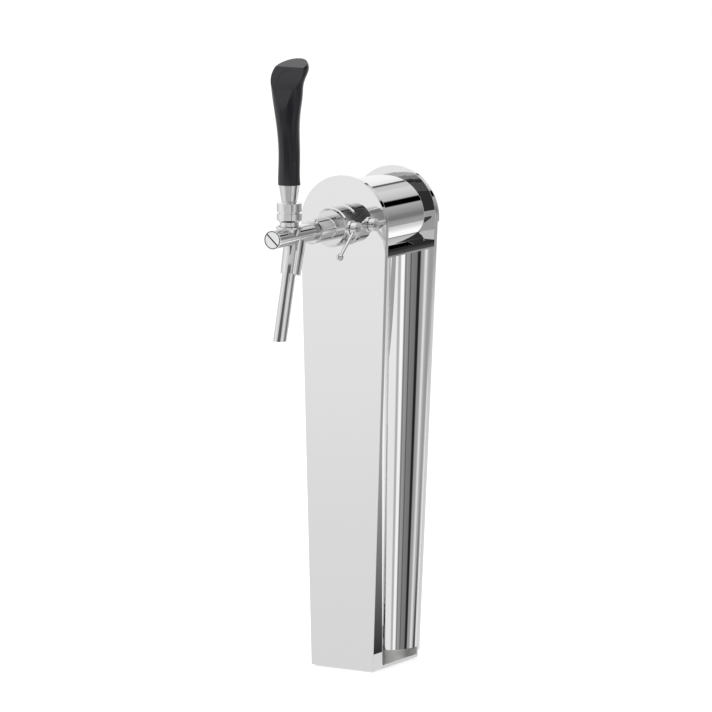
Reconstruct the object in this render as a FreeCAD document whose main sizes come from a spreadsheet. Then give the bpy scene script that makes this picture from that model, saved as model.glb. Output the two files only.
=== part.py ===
"""Single-tap beer tower: a keyhole front plate, a leaning rear plate, a drum, a half-round column and a
flow-control tap with a lever handle.

World frame: millimetres, +Z up, +Y to the back of the tower, +X to the right seen from the front.
The origin is the centre of the underside of the base gasket.
"""
import FreeCAD, Part
import math
import os
import re

import Sketcher

Vector = FreeCAD.Vector
Rotation = FreeCAD.Rotation
Placement = FreeCAD.Placement

# Driving dimensions, in millimetres and degrees. "Reach" is a distance forward of the front plate's face,
# "rise" is a height above the tap's horizontal axis.
SIZES = {
    # plates
    "gasket_wall": 1.5,
    "gasket_inset": 8.0,
    "axis_height": 438.0,
    "plate_radius": 48.0,
    "foot_width": 69.8,
    "base_depth": 89.5,
    "drum_depth": 100.0,
    "panel_wall": 2.0,
    "front_edge": 5.0,
    "foot_flange": 18.0,
    "flange_start": 225.0,
    "rear_edge": 5.0,
    "foot_relief": 6.5,
    "cover_wall": 1.2,
    "cover_gap": 0.4,
    "rear_window_radius": 33.0,
    "rear_slot_width": 36.0,
    "rear_slot_bottom": 60.0,
    "rear_slot_drop": 76.5,
    "lid_radius": 48.0,
    "lid_wall": 2.4,
    "lid_sink": 2.0,
    "lid_edge": 5.0,
    "lid_screw_x": 36.0,
    "lid_screw_rise": 3.0,
    # drum, rail and column
    "drum_radius": 41.5,
    "drum_wall": 1.5,
    "rail_drop": 21.7,
    "rail_rise": 8.0,
    "rail_wall": 2.0,
    "rail_hole_radius": 9.0,
    "column_inset": 0.4,
    "column_foot_inset": 1.5,
    "column_wall": 1.5,
    "collar_band_wall": 1.2,
    "collar_band_rise": 6.5,
    # foot
    "base_wall": 3.0,
    "fit_gap": 0.1,
    "bracket_wall": 4.0,
    "bracket_rise": 18.0,
    "front_bracket_width": 52.0,
    "rear_bracket_width": 50.0,
    "front_leg": 18.0,
    "rear_leg": 14.0,
    "bolt_span_x": 38.0,
    "front_bolt_inset": 12.75,
    "rear_bolt_inset": 9.75,
    "bolt_tap_radius": 2.5,
    "bolt_hole_radius": 3.3,
    "foot_screw_x": 8.0,
    "foot_screw_radius": 2.0,
    "foot_screw_head": 3.8,
    "foot_screw_length": 6.6,
    "countersink": 1.8,
    # cover screws
    "cover_screw_inset": 8.0,
    "cover_screw_low": 35.0,
    "cover_screw_drop": 61.5,
    "cover_screw_radius": 2.0,
    "cover_screw_head": 3.9,
    "cover_screw_cap": 2.2,
    "cover_screw_length": 5.5,
    # beer path
    "line_inset": 22.95,
    "line_radius": 4.75,
    "line_bore": 3.95,
    "sleeve_radius": 8.0,
    "sleeve_low": 12.0,
    "sleeve_drop": 8.3,
    "grommet_radius": 7.9,
    "grommet_flange": 8.6,
    "shank_radius": 11.0,
    "shank_bore": 5.0,
    "shank_tail": 30.0,
    "shank_nose": 10.0,
    "thread_gap": 0.05,
    "escutcheon_radius": 20.5,
    "escutcheon_wall": 4.0,
    "washer_radius": 17.0,
    "washer_wall": 2.0,
    "locknut_flats": 32.0,
    "locknut_wall": 8.0,
    "elbow_radius": 7.5,
    "elbow_collar": 12.0,
    "elbow_block": 8.0,
    "elbow_bore": 4.0,
    "elbow_drop": 10.5,
    "tail_nut_flats": 30.0,
    "tail_nut_wall": 12.0,
    "line_nut_flats": 19.0,
    "line_nut_wall": 10.0,
    # compensator
    "barrel_radius": 19.3,
    "barrel_reach": 24.8,
    "barrel_round": 2.5,
    "piston_bore": 8.3,
    "flow_reach": 17.0,
    "flow_boss_radius": 7.6,
    "flow_boss_x": 20.6,
    "flow_stem_radius": 4.2,
    "flow_seal_radius": 5.8,
    "flow_seal_wall": 1.9,
    "flow_hub_radius": 6.2,
    "flow_hub_wall": 6.0,
    "flow_rod_radius": 1.6,
    "flow_rod_length": 38.0,
    "flow_rod_angle": 40.3,
    "flow_knob_radius": 3.5,
    "flow_cam": 2.7,
    "flow_cam_radius": 1.4,
    "flow_cam_gap": 0.5,
    "flow_cam_x": 4.2,
    "flow_screw_radius": 3.0,
    "flow_screw_slot": 0.7,
    "cone_radius": 8.0,
    "cone_tail": 4.5,
    "cone_shoulder": 6.0,
    "cone_nose": 30.5,
    "cone_nose_radius": 4.6,
    "cone_flat": 6.0,
    # tap body
    "neck_root_radius": 12.0,
    "neck_root_reach": 60.0,
    "neck_radius": 8.9,
    "neck_bore": 6.2,
    "neck_bore_setback": 4.0,
    "root_bore": 8.9,
    "seat_setback": 20.0,
    "throat_radius": 3.6,
    "throat_length": 7.0,
    "chamber_radius": 5.3,
    "chamber_run": 12.0,
    "valve_reach": 100.0,
    "block_radius": 12.2,
    "boss_top": 4.5,
    "boss_drop": 15.3,
    "stand_foot": 1.0,
    "stand_radius": 8.6,
    "flange_rise": 8.0,
    "flange_wall": 1.8,
    "flange_radius": 12.95,
    "cup_radius": 9.7,
    "cup_rim_radius": 11.0,
    "cup_floor": 6.2,
    "outlet_bore": 5.0,
    "cap_radius": 9.2,
    "cap_wall": 4.2,
    "cap_seal_wall": 0.6,
    "cap_spigot": 5.5,
    "cap_slot_width": 1.5,
    "cap_slot_depth": 1.3,
    "cap_slot_angle": 42.0,
    "cap_ring_radius": 7.7,
    "cap_ring_width": 0.9,
    "bush_length": 7.5,
    "cap_depth": 6.5,
    # plunger
    "rod_radius": 2.4,
    "rod_gap": 0.08,
    "rod_tail": 12.0,
    "head_radius": 5.0,
    "head_wall": 5.5,
    "seal_wall": 1.5,
    "slider_radius": 4.8,
    "slider_length": 12.0,
    "slider_half_width": 3.2,
    "slider_rise": 2.0,
    "finger_ball": 1.9,
    "finger_stem": 1.0,
    "finger_gap": 0.3,
    # lever
    "pivot_rise": 8.0,
    "hub_radius": 5.0,
    "hub_half_width": 6.0,
    "hub_gap": 0.3,
    "pin_radius": 2.0,
    "pin_gap": 0.05,
    "lever_neck_radius": 9.15,
    "lever_neck_rise": 10.2,
    "collar_rise": 14.4,
    "collar_radius": 12.0,
    "collar_bevel": 2.0,
    "collar_top": 22.4,
    "groove_radius": 10.1,
    "groove_top": 24.3,
    "locknut_top": 32.2,
    "ferrule_spigot": 6.5,
    "ferrule_foot": 33.3,
    "ferrule_low_radius": 7.45,
    "ferrule_high_radius": 10.1,
    "handle_rise": 49.7,
    "stud_radius": 4.0,
    "stud_foot": 16.2,
    "stud_top": 68.0,
    "insert_radius": 7.0,
    "insert_top": 72.0,
    # spout
    "socket_radius": 10.4,
    "socket_foot_radius": 9.7,
    "socket_shift": 2.6,
    "socket_drop": 36.6,
    "spout_radius": 6.4,
    "spout_bore": 5.4,
    "spout_seat_drop": 30.5,
    "spout_end_drop": 98.4,
    "spout_lean": 15.0,
    "spout_offset": 0.4,
    "spout_seal_wall": 1.2,
    # handle sections: rise, half width across, half depth fore and aft, shift to the back
    "grip_radius": 10.75,
    "waist_rise": 76.0,
    "waist_radius": 10.3,
    "throat_rise": 98.0,
    "throat_width": 10.6,
    "throat_depth": 10.8,
    "throat_shift": -1.4,
    "flare_rise": 118.0,
    "flare_width": 12.8,
    "flare_depth": 10.8,
    "flare_shift": -3.2,
    "shoulder_rise": 138.0,
    "shoulder_width": 16.0,
    "shoulder_depth": 11.2,
    "shoulder_shift": -3.8,
    "head_rise": 152.0,
    "head_width": 17.5,
    "head_depth": 14.2,
    "head_shift": -2.4,
    "crown_rise": 161.0,
    "crown_width": 16.4,
    "crown_depth": 17.6,
    "crown_shift": 3.6,
    "tip_rise": 166.4,
    "tip_width": 13.0,
    "tip_depth": 15.5,
    "tip_shift": 6.4,
    "top_rise": 169.2,
    "top_width": 7.0,
    "top_depth": 9.0,
    "top_shift": 6.6,
    "facet_rise": 112.0,
    "facet_reach": 15.0,
    "facet_lean": 5.0,
    "facet_round": 31.0,
    "brow_rise": 136.0,
    "brow_reach": 16.1,
    "brow_lean": 32.0,
    "crest_rise": 157.2,
    "crest_reach": 14.0,
    "crest_lean": 71.0,
    "badge_rise": 152.0,
    "badge_radius": 8.8,
    "badge_depth": 0.3,
}

doc = FreeCAD.newDocument("beer_tower")
sheet = doc.addObject("Spreadsheet::Sheet", "Sizes")
for row, (alias, value) in enumerate(SIZES.items(), start=1):
    sheet.set(f"A{row}", alias)
    sheet.set(f"B{row}", str(value))
    sheet.setAlias(f"B{row}", alias)
doc.recompute()

# Heights and widths worked out from the sheet, as expressions.
PLATE_RUN = "(axis_height - gasket_wall)"
HALF_FOOT = "(foot_width / 2)"
SIDE_ANGLE = (f"(asin(plate_radius / sqrt({HALF_FOOT} ^ 2 + {PLATE_RUN} ^ 2))"
              f" - atan({HALF_FOOT} / {PLATE_RUN}))")
LEAN = f"atan((drum_depth - base_depth) / {PLATE_RUN})"
FRONT_Y = "(-base_depth / 2)"
FRONT_INNER = f"({FRONT_Y} + panel_wall)"
REAR_FOOT_Y = "(base_depth / 2 - rear_edge)"
BASE_TOP = "(gasket_wall + base_wall)"
RAIL_TOP = "(axis_height - rail_drop)"
RAIL_BOTTOM = f"({RAIL_TOP} - rail_rise)"
REAR_RUN = f"({PLATE_RUN} / cos({LEAN}))"
REAR_FOOT_Z = f"(gasket_wall + rear_edge * sin({LEAN}))"
HALF_BOLT_X = "(bolt_span_x / 2)"
FRONT_BOLT_Y = f"({FRONT_INNER} + front_bolt_inset)"
REAR_BOLT_Y = f"({REAR_FOOT_Y} - rear_bolt_inset)"
LINE_Y = f"({REAR_FOOT_Y} - line_inset)"
ELBOW_BACK = f"(-({LINE_Y} - {FRONT_Y}))"
STEM_BORE = "(flow_stem_radius + thread_gap)"
COVER_SCREW_HIGH = f"({REAR_RUN} - cover_screw_drop)"
CONE_TAIL = "(flow_reach - cone_tail)"
CONE_SHOULDER = "(flow_reach + cone_shoulder)"
CONE_NOSE = "(flow_reach + cone_nose)"
SEAT = "(valve_reach - seat_setback)"
THROAT_END = f"({SEAT} + throat_length)"
CHAMBER_END = "(valve_reach + chamber_run)"
BUSH_END = f"({CHAMBER_END} + bush_length)"
NECK_END = f"({BUSH_END} + cap_depth)"
CAP_BACK = f"({NECK_END} + cap_seal_wall)"
CAP_FACE = f"({CAP_BACK} + cap_wall)"

# Size of the regular polygon that a sketch starts from, before its constraints place the corners.
SKETCH_START = 50.0

# Turns that carry a local +Z axis onto a world axis.
ALONG = {
    "z": Rotation(),
    "x": Rotation(Vector(0, 1, 0), 90),
    "y": Rotation(Vector(1, 0, 0), -90),
    "forward": Rotation(Vector(1, 0, 0), 90),
}
NAMES = re.compile("|".join(sorted((rf"\b{name}\b" for name in SIZES), key=len, reverse=True)))


def half_width(height):
    """Half width of the plates at a world height, as an expression."""
    return f"({HALF_FOOT} + ({height} - gasket_wall) * tan({SIDE_ANGLE}))"


def rear_y(height):
    """World Y of the rear plate's front face at a height, as an expression."""
    return f"({REAR_FOOT_Y} + ({height} - {REAR_FOOT_Z}) * tan({LEAN}))"


def bind(thing, prop, text):
    """Bind a property to an expression written with the sheet's aliases."""
    thing.setExpression(prop, NAMES.sub(lambda found: f"Sizes.{found.group(0)}", text))


def put(thing, at, turn="z"):
    """Place an object at three expressions, with its local Z turned onto an axis."""
    thing.Placement = Placement(Vector(), ALONG[turn])
    for letter, text in zip("xyz", at):
        bind(thing, f".Placement.Base.{letter}", text)
    return thing


def in_tap(thing):
    """Local Z runs forward from the front plate's face along the tap's axis, local Y is up."""
    return put(thing, ("0", FRONT_Y, "axis_height"), "forward")


def in_valve(thing):
    """Local origin where the valve's upright axis crosses the tap's axis."""
    return put(thing, ("0", f"{FRONT_Y} - valve_reach", "axis_height"))


def in_flow(thing):
    """Local Z runs to the right along the flow lever's stem, local X is down."""
    return put(thing, ("0", f"{FRONT_Y} - flow_reach", "axis_height"), "x")


def in_rear(thing):
    """Local XZ plane is the rear plate's leaning front face."""
    thing.Placement = Placement(Vector(), Rotation(Vector(-1, 0, 0), 1))
    bind(thing, ".Placement.Rotation.Angle", LEAN)
    bind(thing, ".Placement.Base.y", REAR_FOOT_Y)
    bind(thing, ".Placement.Base.z", REAR_FOOT_Z)
    return thing


def new_body(label):
    """An empty PartDesign body."""
    made = doc.addObject("PartDesign::Body", label)
    made.Label = label
    return made


def new_sketch(body, name, plane, lift=None):
    """A sketch on one of the body's own origin planes, lifted along its normal."""
    sketch = body.newObject("Sketcher::SketchObject", name)
    support = next(item for item in body.Origin.OriginFeatures if item.Role == plane)
    sketch.AttachmentSupport = (support, [""])
    sketch.MapMode = "FlatFace"
    if lift:
        bind(sketch, ".AttachmentOffset.Base.z", lift)
    return sketch


def pin_point(sketch, curve, end, across, up):
    """Fix a point of a sketch at two expressions, measured from the sketch's origin."""
    for kind, text in (("DistanceX", across), ("DistanceY", up)):
        index = sketch.addConstraint(Sketcher.Constraint(kind, -1, 1, curve, end, 1.0))
        bind(sketch, f"Constraints[{index}]", text)


def polygon(sketch, points):
    """A closed polygon whose corners are pairs of expressions."""
    count = len(points)
    turn = 2 * math.pi / count
    corners = [Vector(math.cos(turn * step), math.sin(turn * step), 0) * SKETCH_START
               for step in range(count)]
    for step in range(count):
        sketch.addGeometry(Part.LineSegment(corners[step], corners[(step + 1) % count]))
    for step in range(count):
        sketch.addConstraint(Sketcher.Constraint("Coincident", step, 2, (step + 1) % count, 1))
    for step, (across, up) in enumerate(points):
        pin_point(sketch, step, 1, across, up)


def turned(label, points):
    """A body revolved about its local Z axis from (radius, height) corners."""
    made = new_body(label)
    sketch = new_sketch(made, f"{label}_profile", "XZ_Plane")
    polygon(sketch, points)
    spin = made.newObject("PartDesign::Revolution", f"{label}_turn")
    spin.Profile = sketch
    spin.ReferenceAxis = (sketch, ["V_Axis"])
    spin.Angle = 360
    made.Tip = spin
    return made


def ring(label, inner, outer, low, high):
    """A plain ring between two heights."""
    return turned(label, ((inner, low), (outer, low), (outer, high), (inner, high)))


def padded(label, plane, points, length, lift=None, reverse=False):
    """A body padded from a polygon."""
    made = new_body(label)
    sketch = new_sketch(made, f"{label}_outline", plane, lift)
    polygon(sketch, points)
    pad = made.newObject("PartDesign::Pad", f"{label}_pad")
    pad.Profile = sketch
    bind(pad, "Length", length)
    pad.Reversed = reverse
    made.Tip = pad
    return made


def cylinder(name, radius, length, at, turn="z"):
    """A cylinder that starts at a point and runs along an axis."""
    made = doc.addObject("Part::Cylinder", name)
    bind(made, "Radius", radius)
    bind(made, "Height", length)
    return put(made, at, turn)


def block(name, low, size):
    """A box from its low corner and its three sizes."""
    made = doc.addObject("Part::Box", name)
    for prop, text in zip(("Length", "Width", "Height"), size):
        bind(made, prop, text)
    return put(made, low)


def hexagon(name, flats, length, at, turn="z"):
    """A hexagonal prism with the given width across its flats."""
    made = doc.addObject("Part::Prism", name)
    made.Polygon = 6
    bind(made, "Circumradius", f"{flats} / sqrt(3)")
    bind(made, "Height", length)
    return put(made, at, turn)


def joined(label, *pieces):
    """One solid from overlapping pieces."""
    made = doc.addObject("Part::MultiFuse", label)
    made.Label = label
    made.Shapes = list(pieces)
    return made


def grouped(label, pieces):
    """Separate solids kept together as one sub-part."""
    made = doc.addObject("Part::Compound", label)
    made.Label = label
    made.Links = list(pieces)
    return made


def less(label, base, *tools):
    """A base with tools cut out of it. The label is kept for the result."""
    base.Label = f"{label}_blank"
    tool = tools[0]
    if len(tools) > 1:
        tool = doc.addObject("Part::MultiFuse", f"{label}_tools")
        tool.Shapes = list(tools)
    made = doc.addObject("Part::Cut", f"{label}_cut")
    made.Base = base
    made.Tool = tool
    made.Label = label
    return made


def keyhole(sketch, run, shrink="0", foot="0"):
    """The plates' outline: a foot line, two sides and a round head that they meet smoothly."""
    height = SIZES["axis_height"] - SIZES["gasket_wall"]
    half = SIZES["foot_width"] / 2
    radius = SIZES["plate_radius"]
    head = Vector(0, height, 0)
    left = Vector(-half, 0, 0)
    right = Vector(half, 0, 0)
    sketch.addGeometry(Part.LineSegment(left, right))
    sketch.addGeometry(Part.LineSegment(right, Vector(radius, height, 0)))
    sketch.addGeometry(Part.ArcOfCircle(Part.Circle(head, Vector(0, 0, 1), radius), 0, math.pi))
    sketch.addGeometry(Part.LineSegment(Vector(-radius, height, 0), left))
    sketch.addConstraint(Sketcher.Constraint("Coincident", 0, 2, 1, 1))
    sketch.addConstraint(Sketcher.Constraint("Tangent", 1, 2, 2, 1))
    sketch.addConstraint(Sketcher.Constraint("Tangent", 2, 2, 3, 1))
    sketch.addConstraint(Sketcher.Constraint("Coincident", 3, 2, 0, 1))
    pin_point(sketch, 2, 3, "0", run)
    corner = f"({HALF_FOOT} + {foot} * tan({SIDE_ANGLE}) - {shrink})"
    pin_point(sketch, 0, 1, f"-{corner}", foot)
    pin_point(sketch, 0, 2, corner, foot)
    index = sketch.addConstraint(Sketcher.Constraint("Radius", 2, radius))
    bind(sketch, f"Constraints[{index}]", f"plate_radius - {shrink}")


def tray(label, run, depth):
    """A keyhole plate with a folded edge: its face at local Y = 0, the fold running back."""
    made = new_body(label)
    outside = new_sketch(made, f"{label}_outline", "XZ_Plane")
    keyhole(outside, run)
    pad = made.newObject("PartDesign::Pad", f"{label}_pad")
    pad.Profile = outside
    bind(pad, "Length", depth)
    pad.Reversed = True
    inside = new_sketch(made, f"{label}_inside", "XZ_Plane", "-panel_wall")
    keyhole(inside, run, "panel_wall")
    hollow = made.newObject("PartDesign::Pocket", f"{label}_hollow")
    hollow.Profile = inside
    bind(hollow, "Length", depth)
    made.Tip = hollow
    return made


def front_panel():
    """Front plate: its folded edge is shallow above and deepens towards the foot."""
    plate = tray("front_panel", PLATE_RUN, "foot_flange")
    top = f"({PLATE_RUN} + plate_radius + 1)"
    behind = "(foot_flange + 1)"
    trim = padded("front_panel_trim", "YZ_Plane", (
        ("front_edge", top), ("front_edge", "flange_start"), ("foot_flange", "0"),
        (behind, "0"), (behind, top)), "2 * plate_radius + 2", lift="-plate_radius - 1")
    hole = cylinder("front_panel_hole", "shank_radius + fit_gap", "3 * panel_wall",
                    ("0", "-panel_wall", PLATE_RUN), "y")
    return put(less("front_panel", plate, trim, hole), ("0", FRONT_Y, "gasket_wall"))


def cover_screw_spots():
    """Local X and Z of the cover screws, as expressions."""
    middle = f"((cover_screw_low + {COVER_SCREW_HIGH}) / 2)"
    for up in ("cover_screw_low", middle, COVER_SCREW_HIGH):
        across = f"({HALF_FOOT} + {up} * tan({SIDE_ANGLE}) - cover_screw_inset)"
        yield f"-{across}", up
        yield across, up


def lid_screw_spots():
    """Local X and Z of the lid's screws, as expressions."""
    for across in ("-lid_screw_x", "lid_screw_x"):
        yield across, f"({REAR_RUN} + lid_screw_rise)"


def rear_panel():
    """Rear plate: the front plate's outline, with a window to the drum and a slot to the column."""
    plate = tray("rear_panel", REAR_RUN, "rear_edge")
    window = cylinder("rear_window", "rear_window_radius", "3 * panel_wall",
                      ("0", "-panel_wall", REAR_RUN), "y")
    slot = block("rear_slot", ("-rear_slot_width / 2", "-panel_wall", "rear_slot_bottom"),
                 ("rear_slot_width", "3 * panel_wall", f"{REAR_RUN} - rear_slot_drop - rear_slot_bottom"))
    relief = block("rear_foot_relief", ("-plate_radius", "panel_wall", "-1"),
                   ("2 * plate_radius", "rear_edge", "foot_relief + 1"))
    holes = [cylinder(f"rear_tap_{step}", "cover_screw_radius + thread_gap", "3 * panel_wall",
                      (across, "-panel_wall", up), "y")
             for step, (across, up) in enumerate((*cover_screw_spots(), *lid_screw_spots()))]
    return in_rear(less("rear_panel", plate, window, slot, relief, *holes))


def rear_cover():
    """Service cover that closes the rear plate's window and slot from behind."""
    cover = new_body("rear_cover")
    sketch = new_sketch(cover, "rear_cover_outline", "XZ_Plane", "-panel_wall")
    keyhole(sketch, REAR_RUN, "(panel_wall + cover_gap)", "foot_relief")
    pad = cover.newObject("PartDesign::Pad", "rear_cover_pad")
    pad.Profile = sketch
    bind(pad, "Length", "cover_wall")
    pad.Reversed = True
    cover.Tip = pad
    holes = [cylinder(f"cover_hole_{step}", "cover_screw_radius + fit_gap", "3 * cover_wall",
                      (across, "panel_wall - cover_wall", up), "y")
             for step, (across, up) in enumerate((*cover_screw_spots(), *lid_screw_spots()))]
    return in_rear(less("rear_cover", cover, *holes))


def rear_lid():
    """Round-headed lid behind the drum, with a straight lower edge."""
    disc = cylinder("lid_disc", "lid_radius", "lid_wall", ("0", "rear_edge", f"{REAR_RUN} - lid_sink"), "y")
    lid_foot = f"{REAR_RUN} - lid_edge - 2 * lid_radius"
    below = block("lid_below", ("-2 * lid_radius", "rear_edge - 1", lid_foot),
                  ("4 * lid_radius", "lid_wall + 2", "2 * lid_radius"))
    holes = [cylinder(f"lid_hole_{step}", "cover_screw_radius + fit_gap", "3 * lid_wall",
                      (across, "rear_edge - lid_wall", up), "y")
             for step, (across, up) in enumerate(lid_screw_spots())]
    return in_rear(less("rear_lid", disc, below, *holes))


def cover_screws():
    """Pan-head screws: six hold the rear cover and two longer ones hold the lid."""
    screws = []
    on_cover = "(panel_wall + cover_wall)"
    on_lid = "(rear_edge + lid_wall)"
    spots = [(across, up, on_cover) for across, up in cover_screw_spots()]
    spots += [(across, up, on_lid) for across, up in lid_screw_spots()]
    for step, (across, up, back) in enumerate(spots):
        length = f"(cover_screw_length + {back} - {on_cover})"
        head = cylinder(f"cover_screw_head_{step}", "cover_screw_head", "cover_screw_cap",
                        (across, back, up), "y")
        stem = cylinder(f"cover_screw_stem_{step}", "cover_screw_radius", f"{length} + 1",
                        (across, f"{back} - {length}", up), "y")
        recess = hexagon(f"cover_screw_hex_{step}", "cover_screw_radius * 1.25", "cover_screw_cap",
                         (across, f"{back} + cover_screw_cap / 2", up), "y")
        whole = joined(f"cover_screw_{step}", head, stem)
        screws.append(less(f"cover_screw_done_{step}", whole, recess))
    return in_rear(grouped("cover_screws", screws))


def drum_tube():
    """Horizontal drum between the plates, cut flat where it stands on the rail."""
    length = "(drum_depth + rear_edge)"
    tube = cylinder("drum_outside", "drum_radius", length, ("0", FRONT_INNER, "axis_height"), "y")
    bore = cylinder("drum_bore", "drum_radius - drum_wall", f"{length} + 2",
                    ("0", f"{FRONT_INNER} - 1", "axis_height"), "y")
    below = block("drum_below", ("-plate_radius", f"{FRONT_Y}", f"{RAIL_TOP} - plate_radius"),
                  ("2 * plate_radius", "2 * drum_depth", "plate_radius"))
    return less("drum_tube", tube, bore, below, behind_rear_face("drum_rear_trim"))


def behind_rear_face(name):
    """The space behind the rear plate's front face, as a tool."""
    tool = doc.addObject("Part::Box", f"{name}_box")
    for prop, text in (("Length", "4 * plate_radius"), ("Width", "drum_depth"),
                       ("Height", "2 * axis_height")):
        bind(tool, prop, text)
    tool.Placement = Placement(Vector(), Rotation(Vector(-1, 0, 0), 1))
    bind(tool, ".Placement.Rotation.Angle", LEAN)
    bind(tool, ".Placement.Base.x", "-2 * plate_radius")
    bind(tool, ".Placement.Base.y", REAR_FOOT_Y)
    bind(tool, ".Placement.Base.z", REAR_FOOT_Z)
    return tool


def top_rail():
    """Shallow inverted channel under the drum, flush with the plates' sides."""
    top = half_width(RAIL_TOP)
    low = half_width(RAIL_BOTTOM)
    under = f"({RAIL_TOP} - rail_wall)"
    inner = half_width(under)
    channel = padded("top_rail", "XZ_Plane", (
        (f"-{low}", RAIL_BOTTOM), (f"-{low} + rail_wall", RAIL_BOTTOM),
        (f"-{inner} + rail_wall", under), (f"{inner} - rail_wall", under),
        (f"{low} - rail_wall", RAIL_BOTTOM), (low, RAIL_BOTTOM),
        (top, RAIL_TOP), (f"-{top}", RAIL_TOP)), "drum_depth",
        lift=f"-({FRONT_Y} + front_edge)", reverse=True)
    hole = cylinder("rail_hole", "rail_hole_radius", "3 * rail_wall",
                    ("0", LINE_Y, f"{under} - rail_wall"))
    return less("top_rail", channel, hole, behind_rear_face("rail_rear_trim"))


def half_ring(body, name, height, radius, wall_name):
    """A half ring that opens to the back, centred on the rear plate's front face."""
    sketch = new_sketch(body, name, "XY_Plane", height)
    rough = SIZES["plate_radius"]
    wall = SIZES[wall_name]
    middle = Vector(0, rough, 0)
    for size in (rough, rough - wall):
        sketch.addGeometry(Part.ArcOfCircle(Part.Circle(middle, Vector(0, 0, 1), size), math.pi, 2 * math.pi))
    sketch.addGeometry(Part.LineSegment(Vector(rough, rough, 0), Vector(rough - wall, rough, 0)))
    sketch.addGeometry(Part.LineSegment(Vector(wall - rough, rough, 0), Vector(-rough, rough, 0)))
    for first, first_end, second, second_end in ((0, 2, 2, 1), (2, 2, 1, 2), (1, 1, 3, 1), (3, 2, 0, 1),
                                                 (0, 3, 1, 3)):
        sketch.addConstraint(Sketcher.Constraint("Coincident", first, first_end, second, second_end))
    sketch.addConstraint(Sketcher.Constraint("Horizontal", 2))
    sketch.addConstraint(Sketcher.Constraint("Horizontal", 3))
    pin_point(sketch, 0, 3, "0", rear_y(height))
    for curve, text in ((0, radius), (1, f"{radius} - {wall_name}")):
        index = sketch.addConstraint(Sketcher.Constraint("Radius", curve, SIZES["plate_radius"]))
        bind(sketch, f"Constraints[{index}]", text)
    for curve in (2, 3):
        index = sketch.addConstraint(Sketcher.Constraint("DistanceY", -1, 1, curve, 1, rough))
        bind(sketch, f"Constraints[{index}]", rear_y(height))
    return sketch


def half_shell(label, foot, head, foot_margin, head_margin, wall_name):
    """A half-round shell between two heights, as wide as the plates plus signed margins."""
    shell = new_body(label)
    low = half_ring(shell, f"{label}_foot", foot, f"{half_width(foot)} {foot_margin}", wall_name)
    high = half_ring(shell, f"{label}_head", head, f"{half_width(head)} {head_margin}", wall_name)
    loft = shell.newObject("PartDesign::AdditiveLoft", f"{label}_loft")
    loft.Profile = low
    loft.Sections = [high]
    loft.Ruled = True
    shell.Tip = loft
    return shell


def column_shell():
    """Half-round column under the drum, narrower at the foot, closed at the back by the rear plate."""
    return half_shell("column_shell", BASE_TOP, RAIL_BOTTOM, "- column_foot_inset", "- column_inset",
                      "column_wall")


def column_collar():
    """Band round the column's foot, standing on the foot plate."""
    margin = "- column_foot_inset + fit_gap + collar_band_wall"
    return half_shell("column_collar", BASE_TOP, f"({BASE_TOP} + collar_band_rise)", margin, margin,
                      "collar_band_wall")


def bolt_spots():
    """World X and Y of the four mounting bolts, as expressions."""
    for across in (f"-{HALF_BOLT_X}", HALF_BOLT_X):
        for back in (FRONT_BOLT_Y, REAR_BOLT_Y):
            yield across, back


def foot_screw_spots():
    """World X and Y of the four foot screws, as expressions."""
    for across in ("-foot_screw_x", "foot_screw_x"):
        for back in (FRONT_BOLT_Y, REAR_BOLT_Y):
            yield across, back


def base_gasket():
    """Rubber sheet under the foot."""
    side = f"({HALF_FOOT} - gasket_inset)"
    end = "(base_depth / 2 - gasket_inset)"
    sheet_body = padded("base_gasket", "XY_Plane", (
        (f"-{side}", f"-{end}"), (side, f"-{end}"), (side, end), (f"-{side}", end)), "gasket_wall")
    holes = [cylinder(f"gasket_hole_{step}", "bolt_hole_radius", "3 * gasket_wall",
                      (across, back, "-gasket_wall"))
             for step, (across, back) in enumerate(bolt_spots())]
    line = cylinder("gasket_line_hole", "grommet_radius", "3 * gasket_wall",
                    ("0", LINE_Y, "-gasket_wall"))
    return less("base_gasket", sheet_body, line, *holes)


def base_plate():
    """Foot plate, notched at the front to fit inside the front plate's folded sides."""
    slim = f"({HALF_FOOT} - panel_wall - fit_gap)"
    wide = HALF_FOOT
    notch = f"({FRONT_Y} + foot_flange + fit_gap)"
    plate = padded("base_plate", "XY_Plane", (
        (f"-{slim}", FRONT_INNER), (slim, FRONT_INNER), (slim, notch), (wide, notch),
        (wide, REAR_FOOT_Y), (f"-{wide}", REAR_FOOT_Y), (f"-{wide}", notch), (f"-{slim}", notch)),
        "base_wall", lift="gasket_wall")
    tools = [cylinder("base_line_hole", "grommet_radius + fit_gap", "3 * base_wall", ("0", LINE_Y, "0"))]
    for step, (across, back) in enumerate(bolt_spots()):
        tools.append(cylinder(f"base_bolt_hole_{step}", "bolt_hole_radius", "3 * base_wall",
                              (across, back, "0")))
    for step, (across, back) in enumerate(foot_screw_spots()):
        tools.append(foot_screw(f"base_screw_hole_{step}", across, back, "fit_gap"))
    return less("base_plate", plate, *tools)


def foot_screw(name, across, back, gap="0"):
    """A countersunk screw from below, or the hole for it when a gap is given."""
    head = doc.addObject("Part::Cone", f"{name}_head")
    bind(head, "Radius1", f"foot_screw_head + {gap}")
    bind(head, "Radius2", f"foot_screw_radius + {gap}")
    bind(head, "Height", "countersink")
    put(head, (across, back, "gasket_wall"))
    stem = cylinder(f"{name}_stem", f"foot_screw_radius + {gap}", "foot_screw_length",
                    (across, back, "gasket_wall"))
    return joined(name, head, stem)


def foot_screws():
    """Four countersunk screws that hold the foot plate to its brackets."""
    return grouped("foot_screws", [foot_screw(f"foot_screw_{step}", across, back)
                                   for step, (across, back) in enumerate(foot_screw_spots())])


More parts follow.
